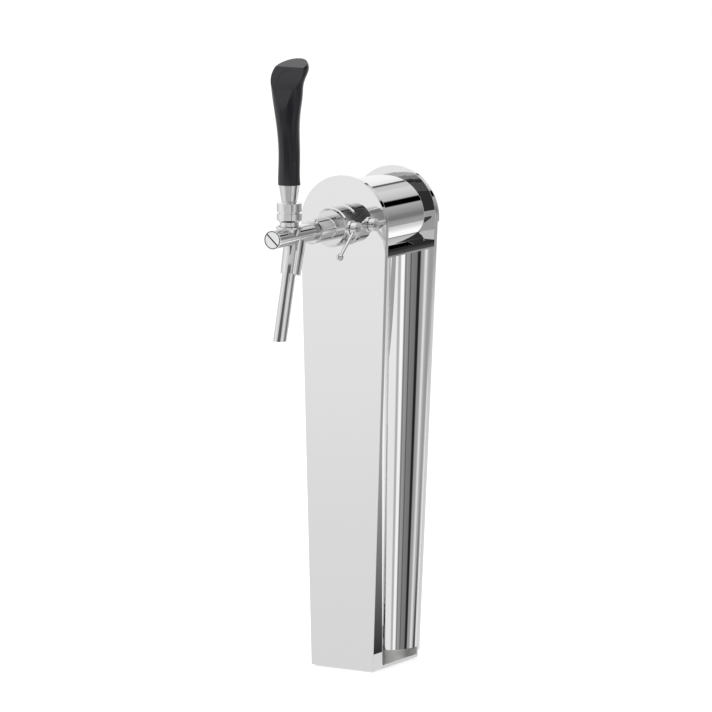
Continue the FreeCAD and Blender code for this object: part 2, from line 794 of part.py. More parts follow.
def bracket(label, width, face, leg, sign):
    """An angle bracket on the foot plate: sign is 1 when its leg runs back from the face."""
    tip = f"({face} + {sign} * {leg})"
    inner = f"({face} + {sign} * bracket_wall)"
    top = f"({BASE_TOP} + bracket_rise)"
    shelf = f"({BASE_TOP} + bracket_wall)"
    angle = padded(label, "YZ_Plane", (
        (face, BASE_TOP), (tip, BASE_TOP), (tip, shelf), (inner, shelf), (inner, top), (face, top)),
        width, lift=f"-{width} / 2")
    back = FRONT_BOLT_Y if sign == 1 else REAR_BOLT_Y
    tools = [cylinder(f"{label}_tap_{step}", "bolt_tap_radius", "3 * bracket_wall",
                      (across, back, f"{BASE_TOP} - bracket_wall"))
             for step, across in enumerate((f"-{HALF_BOLT_X}", HALF_BOLT_X))]
    tools += [cylinder(f"{label}_screw_{step}", "foot_screw_radius + thread_gap", "3 * bracket_wall",
                       (across, back, f"{BASE_TOP} - bracket_wall"))
              for step, across in enumerate(("-foot_screw_x", "foot_screw_x"))]
    return less(label, angle, *tools)


def product_line():
    """Rigid stainless line from the tail elbow down to the foot."""
    top = "(axis_height - elbow_drop)"
    return put(ring("product_line", "line_bore", "line_radius", "gasket_wall / 2", top),
               ("0", LINE_Y, "0"))


def insulation_sleeve():
    """Foam sleeve on the line inside the column."""
    return put(ring("insulation_sleeve", "line_radius + fit_gap", "sleeve_radius", "sleeve_low",
                    f"{RAIL_BOTTOM} - sleeve_drop"), ("0", LINE_Y, "0"))


def base_grommet():
    """Rubber grommet in the foot plate's line hole."""
    lip = f"({BASE_TOP} + gasket_wall)"
    bore = "(line_radius + thread_gap)"
    return put(turned("base_grommet", (
        (bore, "gasket_wall"), ("grommet_radius", "gasket_wall"), ("grommet_radius", BASE_TOP),
        ("grommet_flange", BASE_TOP), ("grommet_flange", lip), (bore, lip))), ("0", LINE_Y, "0"))


def shank():
    """Threaded tube that carries the tap through the front plate."""
    return in_tap(ring("shank", "shank_bore", "shank_radius", "-shank_tail", "shank_nose"))


def shank_flange():
    """Round escutcheon between the tap and the front plate."""
    bevel = "(escutcheon_wall / 4)"
    bore = "(shank_radius + thread_gap)"
    return in_tap(turned("shank_flange", (
        (bore, "0"), ("escutcheon_radius", "0"), ("escutcheon_radius", f"escutcheon_wall - {bevel}"),
        (f"escutcheon_radius - {bevel}", "escutcheon_wall"), (bore, "escutcheon_wall"))))


def shank_washer():
    """Washer behind the front plate."""
    return in_tap(ring("shank_washer", "shank_radius + thread_gap", "washer_radius",
                       "-panel_wall - washer_wall", "-panel_wall"))


def shank_locknut():
    """Hexagon nut that clamps the shank."""
    start = "(-panel_wall - washer_wall - locknut_wall)"
    nut = hexagon("locknut_hex", "locknut_flats", "locknut_wall", ("0", "0", start))
    bore = cylinder("locknut_bore", "shank_radius + thread_gap", "locknut_wall + 2",
                    ("0", "0", f"{start} - 1"))
    return in_tap(less("shank_locknut", nut, bore))


def tail_nut():
    """Union nut that draws the elbow onto the shank's tail."""
    start = "(-shank_tail - tail_nut_wall / 2)"
    nut = hexagon("tail_nut_hex", "tail_nut_flats", "tail_nut_wall", ("0", "0", start))
    thread = cylinder("tail_nut_thread", "elbow_collar + fit_gap", "tail_nut_wall",
                      ("0", "0", "-shank_tail - tail_nut_wall / 4"))
    bore = cylinder("tail_nut_bore", "elbow_radius + fit_gap", "tail_nut_wall + 2",
                    ("0", "0", f"{start} - 1"))
    return in_tap(less("tail_nut", nut, thread, bore))


def tail_elbow():
    """Elbow from the shank's tail down into the line."""
    side = "(2 * elbow_block)"
    corner = block("elbow_corner", ("-elbow_block", "-elbow_block", f"{ELBOW_BACK} - elbow_block"),
                   (side, side, side))
    level = cylinder("elbow_level", "elbow_radius", f"-shank_tail - {ELBOW_BACK}", ("0", "0", ELBOW_BACK))
    collar = cylinder("elbow_collar", "elbow_collar", "tail_nut_wall / 4",
                      ("0", "0", "-shank_tail - tail_nut_wall / 4"))
    drop = cylinder("elbow_drop", "elbow_radius", "elbow_drop + line_nut_wall / 2",
                    ("0", "-elbow_drop - line_nut_wall / 2", ELBOW_BACK), "y")
    level_bore = cylinder("elbow_level_bore", "elbow_bore", f"-shank_tail - {ELBOW_BACK} + 2 * line_bore",
                          ("0", "0", f"{ELBOW_BACK} - line_bore"))
    drop_bore = cylinder("elbow_drop_bore", "line_bore", "elbow_drop + 1",
                         ("0", "-elbow_drop - 1", ELBOW_BACK), "y")
    socket = cylinder("elbow_socket", "line_radius + thread_gap", "line_nut_wall",
                      ("0", "-elbow_drop - line_nut_wall", ELBOW_BACK), "y")
    whole = joined("elbow_body", corner, level, collar, drop)
    return in_tap(less("tail_elbow", whole, level_bore, drop_bore, socket))


def line_nut():
    """Compression nut where the line enters the elbow."""
    low = "(-elbow_drop - line_nut_wall)"
    nut = hexagon("line_nut_hex", "line_nut_flats", "line_nut_wall", ("0", low, ELBOW_BACK), "y")
    thread = cylinder("line_nut_thread", "elbow_radius + thread_gap", "line_nut_wall",
                      ("0", "-elbow_drop - line_nut_wall / 2", ELBOW_BACK), "y")
    bore = cylinder("line_nut_bore", "line_radius + thread_gap", "line_nut_wall + 2",
                    ("0", f"{low} - 1", ELBOW_BACK), "y")
    return in_tap(less("line_nut", nut, thread, bore))


def compensator_housing():
    """Barrel against the escutcheon, with a boss for the flow lever on its right."""
    thread = "(shank_radius + thread_gap)"
    edge = "(barrel_round * 0.3)"
    barrel = turned("barrel", (
        (thread, "escutcheon_wall"), ("barrel_radius", "escutcheon_wall"),
        ("barrel_radius", "barrel_reach - barrel_round"),
        (f"barrel_radius - {edge}", f"barrel_reach - {edge}"),
        ("barrel_radius - barrel_round", "barrel_reach"),
        ("piston_bore", "barrel_reach"), ("piston_bore", "shank_nose"), (thread, "shank_nose")))
    boss = cylinder("flow_boss", "flow_boss_radius", "flow_boss_x - barrel_radius + barrel_round * 2",
                    ("barrel_radius - barrel_round * 2", "0", "flow_reach"), "x")
    stem = cylinder("flow_stem_bore", STEM_BORE, "2 * barrel_radius", ("0", "0", "flow_reach"), "x")
    seat = cylinder("flow_seal_seat", "flow_seal_radius", "2 * flow_seal_wall",
                    ("flow_boss_x - flow_seal_wall", "0", "flow_reach"), "x")
    return in_tap(less("compensator_housing", joined("housing_body", barrel, boss), stem, seat))


def flow_lever_seal():
    """Rubber ring round the flow lever's stem."""
    return in_flow(ring("flow_lever_seal", STEM_BORE, "flow_seal_radius", "flow_boss_x - flow_seal_wall",
                        "flow_boss_x"))


def flow_lever():
    """Flow lever: hub, stem, cam pin, rod and knob."""
    inner = "(flow_boss_x + hub_gap)"
    level = f"({inner} + flow_hub_wall / 2)"
    hub = cylinder("flow_hub", "flow_hub_radius", "flow_hub_wall", ("0", "0", inner))
    stem = cylinder("flow_stem", "flow_stem_radius", f"{inner} + 1 - piston_bore", ("0", "0", "piston_bore"))
    cam = cylinder("flow_cam", "flow_cam_radius", "piston_bore + 1 - flow_cam_x",
                   ("-flow_cam", "0", "flow_cam_x"))
    down = "(flow_rod_length * sin(flow_rod_angle))"
    fore = "(-flow_rod_length * cos(flow_rod_angle))"
    rod = cylinder("flow_rod", "flow_rod_radius", "flow_rod_length", ("0", "0", level), "x")
    aim = doc.addObject("Part::Compound", "flow_rod_aim")
    aim.Links = [rod]
    aim.Placement = Placement(Vector(), Rotation(Vector(0, 0, -1), 1))
    bind(aim, ".Placement.Rotation.Angle", "90 - flow_rod_angle")
    knob = doc.addObject("Part::Sphere", "flow_knob")
    bind(knob, "Radius", "flow_knob_radius")
    put(knob, (down, fore, level))
    return in_flow(joined("flow_lever", hub, stem, cam, aim, knob))


def flow_lever_screw():
    """Slotted screw in the flow lever's hub."""
    start = "(flow_boss_x + hub_gap + flow_hub_wall)"
    head = cylinder("flow_screw_head", "flow_screw_radius", "flow_rod_radius", ("0", "0", start))
    slot_floor = f"{start} + flow_rod_radius / 2"
    slot = block("flow_screw_slot", ("-flow_screw_slot / 2", "-2 * flow_screw_radius", slot_floor),
                 ("flow_screw_slot", "4 * flow_screw_radius", "flow_rod_radius"))
    return in_flow(less("flow_lever_screw", head, slot))


def compensator_cone():
    """Sliding cone of the flow control, with a slot for the lever's cam pin."""
    tip = f"({CONE_NOSE} + cone_nose_radius / 2)"
    blank = turned("cone", (
        ("0", CONE_TAIL), ("cone_radius", CONE_TAIL), ("cone_radius", CONE_SHOULDER),
        ("cone_nose_radius", CONE_NOSE), ("cone_nose_radius / 2", tip), ("0", tip)))
    span = f"({CONE_SHOULDER} - {CONE_TAIL} + 2)"
    start = f"({CONE_TAIL} - 1)"
    above = block("cone_top_flat", ("-cone_radius", "cone_flat", start),
                  ("2 * cone_radius", "cone_radius", span))
    below = block("cone_low_flat", ("-cone_radius", "-cone_flat - cone_radius", start),
                  ("2 * cone_radius", "cone_radius", span))
    half = "(flow_cam_radius + flow_cam_gap)"
    slot_corner = ("flow_cam_x - flow_cam_gap", f"flow_cam * 0.7 - {half}", f"flow_reach - {half}")
    slot = block("cone_slot", slot_corner,
                 ("cone_radius", f"flow_cam * 0.3 + 2 * {half}", f"2 * {half}"))
    return in_tap(less("compensator_cone", blank, above, below, slot))


def tap_body():
    """Tap body: neck, valve block, lever flange and their passages."""
    outside = turned("tap_neck", (
        ("0", "barrel_reach"), ("neck_root_radius", "barrel_reach"),
        ("neck_root_radius", "neck_root_reach - 1"), ("neck_root_radius - 1", "neck_root_reach"),
        ("neck_radius", "neck_root_reach"), ("neck_radius", NECK_END), ("0", NECK_END)))
    upright = doc.addObject("Part::Cone", "lever_stand")
    bind(upright, "Radius1", "stand_radius")
    bind(upright, "Radius2", "block_radius")
    bind(upright, "Height", "flange_rise - stand_foot")
    put(upright, ("0", "stand_foot", "valve_reach"), "y")
    lip = cylinder("lever_flange", "flange_radius", "flange_wall", ("0", "flange_rise", "valve_reach"), "y")
    rim = "(flange_rise + flange_wall)"
    bore = turned("tap_bore", (
        ("0", "barrel_reach - 1"), ("root_bore", "barrel_reach - 1"), ("root_bore", "barrel_reach"),
        ("neck_bore", "neck_root_reach - neck_bore_setback"), ("neck_bore", SEAT), ("throat_radius", SEAT),
        ("throat_radius", THROAT_END), ("chamber_radius", THROAT_END), ("chamber_radius", BUSH_END),
        ("cap_spigot + thread_gap", BUSH_END), ("cap_spigot + thread_gap", f"{NECK_END} + 1"),
        ("0", f"{NECK_END} + 1")))
    cup = doc.addObject("Part::Cone", "lever_cup")
    bind(cup, "Radius1", "cup_radius")
    bind(cup, "Radius2", "cup_rim_radius")
    bind(cup, "Height", f"{rim} - cup_floor")
    put(cup, ("0", "cup_floor", "valve_reach"), "y")
    nest = cylinder("lever_nest", "hub_radius + hub_gap", "2 * (hub_half_width + hub_gap)",
                    ("-hub_half_width - hub_gap", "pivot_rise", "valve_reach"), "x")
    pin = cylinder("lever_pin_bore", "pin_radius", "2 * block_radius + 2",
                   ("-block_radius - 1", "pivot_rise", "valve_reach"), "x")
    boss = slanted("outlet_boss", "socket_radius", "socket_radius", "boss_top", "boss_drop", "socket_shift")
    outlet = slanted("outlet", "outlet_bore", "outlet_bore", "0", "boss_drop + 1")
    level = in_tap(joined("tap_shape", outside, upright, lip))
    passages = in_tap(joined("tap_passages", bore, cup, nest, pin))
    whole = joined("tap_outside", level, in_valve(grouped("tap_boss", [boss])))
    return less("tap_body", whole, passages, in_valve(grouped("tap_outlet", [outlet])))


def rod_bush():
    """Guide bush for the plunger's rod."""
    return in_tap(ring("rod_bush", "rod_radius + rod_gap", "chamber_radius - thread_gap", CHAMBER_END,
                       BUSH_END))


def front_cap():
    """Cap with a coin slot and a ring groove that closes the front of the body."""
    foot = f"({BUSH_END} + hub_gap)"
    deep = f"({CAP_FACE} - cap_slot_depth)"
    outer = "(cap_ring_radius + cap_ring_width)"
    blank = turned("cap", (
        ("0", foot), ("cap_spigot", foot), ("cap_spigot", CAP_BACK), ("cap_radius", CAP_BACK),
        ("cap_radius", CAP_FACE), (outer, CAP_FACE), (outer, f"{CAP_FACE} - cap_ring_width"),
        ("cap_ring_radius", f"{CAP_FACE} - cap_ring_width"), ("cap_ring_radius", CAP_FACE), ("0", CAP_FACE)))
    slot = block("cap_slot_bar", ("-cap_radius", "-cap_slot_width / 2", deep),
                 ("2 * cap_radius", "cap_slot_width", "2 * cap_slot_depth"))
    limit = cylinder("cap_slot_limit", outer, "4 * cap_slot_depth", ("0", "0", f"{deep} - cap_slot_depth"))
    groove = doc.addObject("Part::Common", "cap_slot")
    groove.Base = slot
    groove.Tool = limit
    groove.Placement = Placement(Vector(), Rotation(Vector(0, 0, -1), 1))
    bind(groove, ".Placement.Rotation.Angle", "cap_slot_angle")
    return in_tap(less("front_cap", blank, groove))


def front_cap_seal():
    """Thin seal under the front cap."""
    return in_tap(ring("front_cap_seal", "cap_spigot + thread_gap", "neck_radius", NECK_END,
                       CAP_BACK))


def valve_plunger():
    """Plunger: head behind the seat, rod, and a slider that the lever's finger moves."""
    seat = f"({SEAT} - seal_wall)"
    fore = "(valve_reach + slider_length / 2)"
    aft = "(valve_reach - slider_length / 2)"
    blank = turned("plunger", (
        ("0", f"{seat} - head_wall"), ("head_radius", f"{seat} - head_wall"), ("head_radius", seat),
        ("rod_radius", seat), ("rod_radius", aft), ("slider_radius", aft), ("slider_radius", fore),
        ("rod_radius", fore), ("rod_radius", f"{fore} + rod_tail"), ("0", f"{fore} + rod_tail")))
    half = "(finger_ball + finger_gap)"
    span = ("slider_radius", "slider_length")
    top = block("slider_top", ("-slider_radius", "slider_rise", aft), ("2 * slider_radius", *span))
    left = block("slider_left", ("-slider_radius * 2", "-slider_radius * 2", aft),
                 ("2 * slider_radius - slider_half_width", "4 * slider_radius", "slider_length"))
    right = block("slider_right", ("slider_half_width", "-slider_radius * 2", aft),
                  ("2 * slider_radius - slider_half_width", "4 * slider_radius", "slider_length"))
    slot = block("finger_slot", (f"-{half}", f"-{half} - finger_gap", f"valve_reach - {half}"),
                 (f"2 * {half}", "2 * slider_radius", f"2 * {half}"))
    return in_tap(less("valve_plunger", blank, top, left, right, slot))


def plunger_washer():
    """Rubber washer on the plunger's head, which closes on the seat."""
    return in_tap(ring("plunger_washer", "rod_radius", "head_radius", f"{SEAT} - seal_wall",
                       SEAT))


def hinge_pin():
    """Pin that the lever turns on, a little below flush at both ends."""
    pin = cylinder("hinge_pin", "pin_radius", "2 * block_radius - 4 * thread_gap",
                   ("-block_radius + 2 * thread_gap", f"{FRONT_Y} - valve_reach",
                    "axis_height + pivot_rise"), "x")
    pin.Label = "hinge_pin"
    return pin


def lever_yoke():
    """Lever foot: hub on the hinge pin, neck and lower collar."""
    blank = turned("yoke_neck", (
        ("0", "lever_neck_rise"), ("lever_neck_radius", "lever_neck_rise"),
        ("lever_neck_radius", "collar_rise"), ("collar_radius - collar_bevel", "collar_rise"),
        ("collar_radius", "collar_rise + collar_bevel"), ("collar_radius", "collar_top"),
        ("0", "collar_top")))
    hub = cylinder("yoke_hub", "hub_radius", "2 * hub_half_width",
                   ("-hub_half_width", "0", "pivot_rise"), "x")
    pin = cylinder("yoke_pin_bore", "pin_radius + pin_gap", "4 * hub_half_width",
                   ("-2 * hub_half_width", "0", "pivot_rise"), "x")
    stud = cylinder("yoke_stud_bore", "stud_radius + thread_gap", "collar_top", ("0", "0", "stud_foot"))
    finger = cylinder("yoke_finger_bore", "finger_stem * 1.6", "hub_radius",
                      ("0", "0", "pivot_rise - pin_radius - 2 * pin_gap - hub_radius"))
    return in_valve(less("lever_yoke", joined("yoke_body", blank, hub), pin, stud, finger))


def lever_finger():
    """Ball-ended finger that moves the plunger."""
    top = "(pivot_rise - pin_radius - 2 * pin_gap)"
    thread = cylinder("finger_thread", "finger_stem * 1.6", f"{top} - pivot_rise + hub_radius",
                      ("0", "0", "pivot_rise - hub_radius"))
    stem = cylinder("finger_stem", "finger_stem", top, ("0", "0", "0"))
    ball = doc.addObject("Part::Sphere", "finger_ball")
    bind(ball, "Radius", "finger_ball")
    return in_valve(joined("lever_finger", thread, stem, ball))


def lever_stud():
    """Threaded stud that joins the lever foot, ferrule and handle."""
    return in_valve(turned("lever_stud", (("0", "stud_foot"), ("stud_radius", "stud_foot"),
                                          ("stud_radius", "stud_top"), ("0", "stud_top"))))


def lever_locknut():
    """Upper collar with its groove."""
    bore = "(stud_radius + thread_gap)"
    return in_valve(turned("lever_locknut", (
        (bore, "collar_top"), ("groove_radius", "collar_top"), ("groove_radius", "groove_top"),
        ("collar_radius", "groove_top"), ("collar_radius", "locknut_top"), (bore, "locknut_top"))))


def lever_ferrule():
    """Conical ferrule under the handle."""
    bore = "(stud_radius + thread_gap)"
    return in_valve(turned("lever_ferrule", (
        (bore, "locknut_top"), ("ferrule_spigot", "locknut_top"), ("ferrule_spigot", "ferrule_foot"),
        ("ferrule_low_radius", "ferrule_foot"), ("ferrule_high_radius", "handle_rise"),
        (bore, "handle_rise"))))


def handle_insert():
    """Threaded insert moulded into the handle."""
    return in_valve(ring("handle_insert", "stud_radius + thread_gap", "insert_radius", "handle_rise",
                         "insert_top"))


HANDLE_SECTIONS = (
    ("handle_rise", "grip_radius", "grip_radius", "0"),
    ("waist_rise", "waist_radius", "waist_radius", "0"),
    ("throat_rise", "throat_width", "throat_depth", "throat_shift"),
    ("flare_rise", "flare_width", "flare_depth", "flare_shift"),
    ("shoulder_rise", "shoulder_width", "shoulder_depth", "shoulder_shift"),
    ("head_rise", "head_width", "head_depth", "head_shift"),
    ("crown_rise", "crown_width", "crown_depth", "crown_shift"),
    ("tip_rise", "tip_width", "tip_depth", "tip_shift"),
    ("top_rise", "top_width", "top_depth", "top_shift"),
)


def slope_box(name, rise, reach, lean):
    """A box in front of a plane that leans back from a point at the given rise and reach."""
    made = doc.addObject("Part::Box", name)
    deep = "4 * head_depth"
    for prop, text in (("Length", "4 * head_width"), ("Width", deep), ("Height", "2 * top_rise")):
        bind(made, prop, text)
    made.Placement = Placement(Vector(), Rotation(Vector(-1, 0, 0), 1))
    bind(made, ".Placement.Rotation.Angle", lean)
    bind(made, ".Placement.Base.x", "-2 * head_width")
    bind(made, ".Placement.Base.y", f"-{reach} - {deep} * cos({lean})")
    bind(made, ".Placement.Base.z", f"{rise} + {deep} * sin({lean})")
    return made


def handle():
    """Moulded handle: lofted through ovals, with a full front, a leaning face and a sloping top."""
    ovals = []
    for step, (rise, across, deep, shift) in enumerate(HANDLE_SECTIONS):
        oval = doc.addObject("Part::Ellipse", f"handle_oval_{step}")
        wide = f"max({across}; {deep})"
        slim = f"min({across}; {deep})"
        bind(oval, "MajorRadius", wide)
        bind(oval, "MinorRadius", slim)
        oval.Placement = Placement(Vector(), Rotation(Vector(0, 0, 1), 1))
        bind(oval, ".Placement.Rotation.Angle", f"{across} < {deep} ? 90 : 0")
        bind(oval, ".Placement.Base.y", shift)
        bind(oval, ".Placement.Base.z", rise)
        ovals.append(oval)
    loft = doc.addObject("Part::Loft", "handle_loft")
    loft.Sections = ovals
    loft.Solid = True
    front = slope_box("handle_facet", "facet_rise", "facet_reach", "facet_lean")
    bulge = doc.addObject("Part::Cylinder", "handle_bulge")
    bind(bulge, "Radius", "facet_round")
    bind(bulge, "Height", "2 * top_rise")
    bulge.Placement = Placement(Vector(), Rotation(Vector(-1, 0, 0), 1))
    bind(bulge, ".Placement.Rotation.Angle", "facet_lean")
    bind(bulge, ".Placement.Base.y",
         "-facet_reach + facet_round / cos(facet_lean) - facet_rise * tan(facet_lean)")
    brow = slope_box("handle_brow", "brow_rise", "brow_reach", "brow_lean")
    crest = slope_box("handle_crest", "crest_rise", "crest_reach", "crest_lean")
    badge = cylinder("handle_badge", "badge_radius", "2 * head_depth", ("0", "0", "badge_rise"), "forward")
    bind(badge, ".Placement.Rotation.Angle", "90 - brow_lean")
    bind(badge, ".Placement.Base.y",
         "-brow_reach + (badge_rise - brow_rise) * tan(brow_lean) + badge_depth / cos(brow_lean)")
    rounded = less("handle_front", front, bulge)
    socket = cylinder("handle_socket", "insert_radius + thread_gap", "insert_top - handle_rise + 1",
                      ("0", "0", "handle_rise - 1"))
    return in_valve(less("handle", loft, rounded, brow, crest, badge, socket))


def slanted(name, top_radius, foot_radius, top, foot, shift="0"):
    """A cone or cylinder on the spout's slanted axis between two drops below the tap's axis."""
    same = top_radius == foot_radius
    made = doc.addObject("Part::Cylinder" if same else "Part::Cone", name)
    if same:
        bind(made, "Radius", top_radius)
    else:
        bind(made, "Radius1", top_radius)
        bind(made, "Radius2", foot_radius)
    bind(made, "Height", f"(({foot}) - ({top})) / cos(spout_lean)")
    made.Placement = Placement(Vector(), Rotation(Vector(1, 0, 0), 180))
    bind(made, ".Placement.Rotation.Angle", "180 - spout_lean")
    bind(made, ".Placement.Base.y", f"{shift} - spout_offset + (socket_drop - ({top})) * tan(spout_lean)")
    bind(made, ".Placement.Base.z", f"-({top})")
    return made


def spout_socket():
    """Slanted socket below the tap body's boss; the spout sits forward of its middle."""
    seat = "(spout_seat_drop - spout_seal_wall)"
    blank = slanted("socket_outside", "socket_radius", "socket_foot_radius", "boss_drop", "socket_drop",
                    "socket_shift")
    passage = slanted("socket_passage", "outlet_bore", "outlet_bore", "boss_drop - 1", "spout_seat_drop")
    nest = slanted("socket_nest", "spout_radius + thread_gap", "spout_radius + thread_gap", seat,
                   "2 * socket_drop")
    return in_valve(less("spout_socket", blank, passage, nest))


def spout_ring(label, top, foot):
    """A ring of the spout's wall between two drops."""
    outside = slanted(f"{label}_outside", "spout_radius", "spout_radius", top, foot)
    inside = slanted(f"{label}_inside", "spout_bore", "spout_bore", f"{top} - 1", f"{foot} + 1")
    return less(label, outside, inside)


def spout_seal():
    """Seal ring above the spout tube."""
    return in_valve(spout_ring("spout_seal", "spout_seat_drop - spout_seal_wall", "spout_seat_drop"))


def spout_tube():
    """Straight spout that leans forward, cut level at its end."""
    tube = spout_ring("spout_pipe", "spout_seat_drop", "spout_end_drop + 2 * spout_radius")
    below = block("spout_below", ("-8 * spout_radius", "-8 * spout_radius", "-3 * spout_end_drop"),
                  ("16 * spout_radius", "16 * spout_radius", "2 * spout_end_drop"))
    return in_valve(less("spout_tube", tube, below))


PARTS = [
    front_panel(), rear_panel(), rear_cover(), rear_lid(), cover_screws(), drum_tube(), top_rail(),
    column_shell(), column_collar(), base_plate(), base_gasket(), foot_screws(),
    bracket("front_foot_bracket", "front_bracket_width", FRONT_INNER, "front_leg", 1),
    bracket("rear_foot_bracket", "rear_bracket_width", REAR_FOOT_Y, "rear_leg", -1),
    product_line(), insulation_sleeve(), base_grommet(),
    shank(), shank_flange(), shank_washer(), shank_locknut(), tail_nut(), tail_elbow(), line_nut(),
    compensator_housing(), compensator_cone(), flow_lever(), flow_lever_screw(), flow_lever_seal(),
    tap_body(), rod_bush(), front_cap(), front_cap_seal(), valve_plunger(), plunger_washer(), hinge_pin(),
    lever_yoke(), lever_finger(), lever_stud(), lever_locknut(), lever_ferrule(), handle_insert(), handle(),
    spout_socket(), spout_seal(), spout_tube(),
]
doc.recompute()

faults = [item.Label for item in doc.Objects if "Invalid" in item.State or "Error" in item.State]
faults += [part.Label for part in PARTS if part.Shape.isNull() or not part.Shape.isValid()]
if faults:
    raise SystemExit(f"these objects failed: {', '.join(sorted(set(faults)))}")

os.makedirs("parts", exist_ok=True)
for part in PARTS:
    solids = part.Shape.Solids
    volume = sum(solid.Volume for solid in solids)
    print(f"{part.Label}: {len(solids)} solid(s), {volume:.1f} mm3")
    part.Shape.exportStep(f"parts/{part.Label}.step")
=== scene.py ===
"""Single-tap beer tower in its studio.

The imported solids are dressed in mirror-polished steel, chrome and black gloss, under plain soft light.
World frame: metres, +Z up, -Y to the front of the tower, +X to the right seen from the front.
"""

import logging
import math
from dataclasses import dataclass, field
from enum import Enum
from functools import cache

import bpy
from mathutils import Matrix, Vector

LOG = logging.getLogger("beer_tower")

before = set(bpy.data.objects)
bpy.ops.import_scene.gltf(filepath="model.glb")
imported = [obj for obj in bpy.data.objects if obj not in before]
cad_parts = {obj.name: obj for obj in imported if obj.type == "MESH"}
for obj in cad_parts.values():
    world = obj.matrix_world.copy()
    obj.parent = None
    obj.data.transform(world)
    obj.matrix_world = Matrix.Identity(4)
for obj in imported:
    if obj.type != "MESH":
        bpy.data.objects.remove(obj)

Colour = tuple[float, float, float]

STEEL: Colour = (0.93, 0.93, 0.93)
PLATING: Colour = (0.93, 0.935, 0.94)


class Kind(Enum):
    """The types that a shader group's socket can have."""

    NUMBER = "NodeSocketFloat"
    VECTOR = "NodeSocketVector"


@dataclass(frozen=True)
class Fade:
    """Where a smooth step starts and where it ends."""

    start: float
    end: float

    def build(self, tree: bpy.types.NodeTree, value: bpy.types.NodeSocket) -> bpy.types.NodeSocket:
        """Adds the step to a node tree.

        Args:
            tree: The node tree.
            value: What the step depends on.

        Returns:
            The step's output, from 0 to 1.
        """
        node = tree.nodes.new("ShaderNodeMapRange")
        node.interpolation_type = "SMOOTHSTEP"
        node.inputs["From Min"].default_value = self.start
        node.inputs["From Max"].default_value = self.end
        tree.links.new(value, node.inputs["Value"])
        return node.outputs["Result"]


def add_math(tree: bpy.types.NodeTree, operation: str, *values: bpy.types.NodeSocket | float
             ) -> bpy.types.NodeSocket:
    """Adds one Math node.

    Args:
        tree: The node tree.
        operation: The node's operation.
        values: Sockets to link or numbers to set, in order.

    Returns:
        The node's output.
    """
    node = tree.nodes.new("ShaderNodeMath")
    node.operation = operation
    for slot, value in zip(node.inputs, values):
        if isinstance(value, (int, float)):
            slot.default_value = value
        else:
            tree.links.new(value, slot)
    return node.outputs["Value"]


def add_noise(tree: bpy.types.NodeTree, where: bpy.types.NodeSocket, detail: float,
              scale: bpy.types.NodeSocket | float) -> bpy.types.NodeSocket:
    """Adds one Noise Texture node.

    Args:
        tree: The node tree.
        where: The place that the pattern is read at.
        detail: How many finer layers it has.
        scale: How fine it is, a socket or a number.

    Returns:
        The pattern, about 0.5 on average.
    """
    node = tree.nodes.new("ShaderNodeTexNoise")
    node.inputs["Detail"].default_value = detail
    tree.links.new(where, node.inputs["Vector"])
    if isinstance(scale, (int, float)):
        node.inputs["Scale"].default_value = scale
    else:
        tree.links.new(scale, node.inputs["Scale"])
    return node.outputs["Fac"]


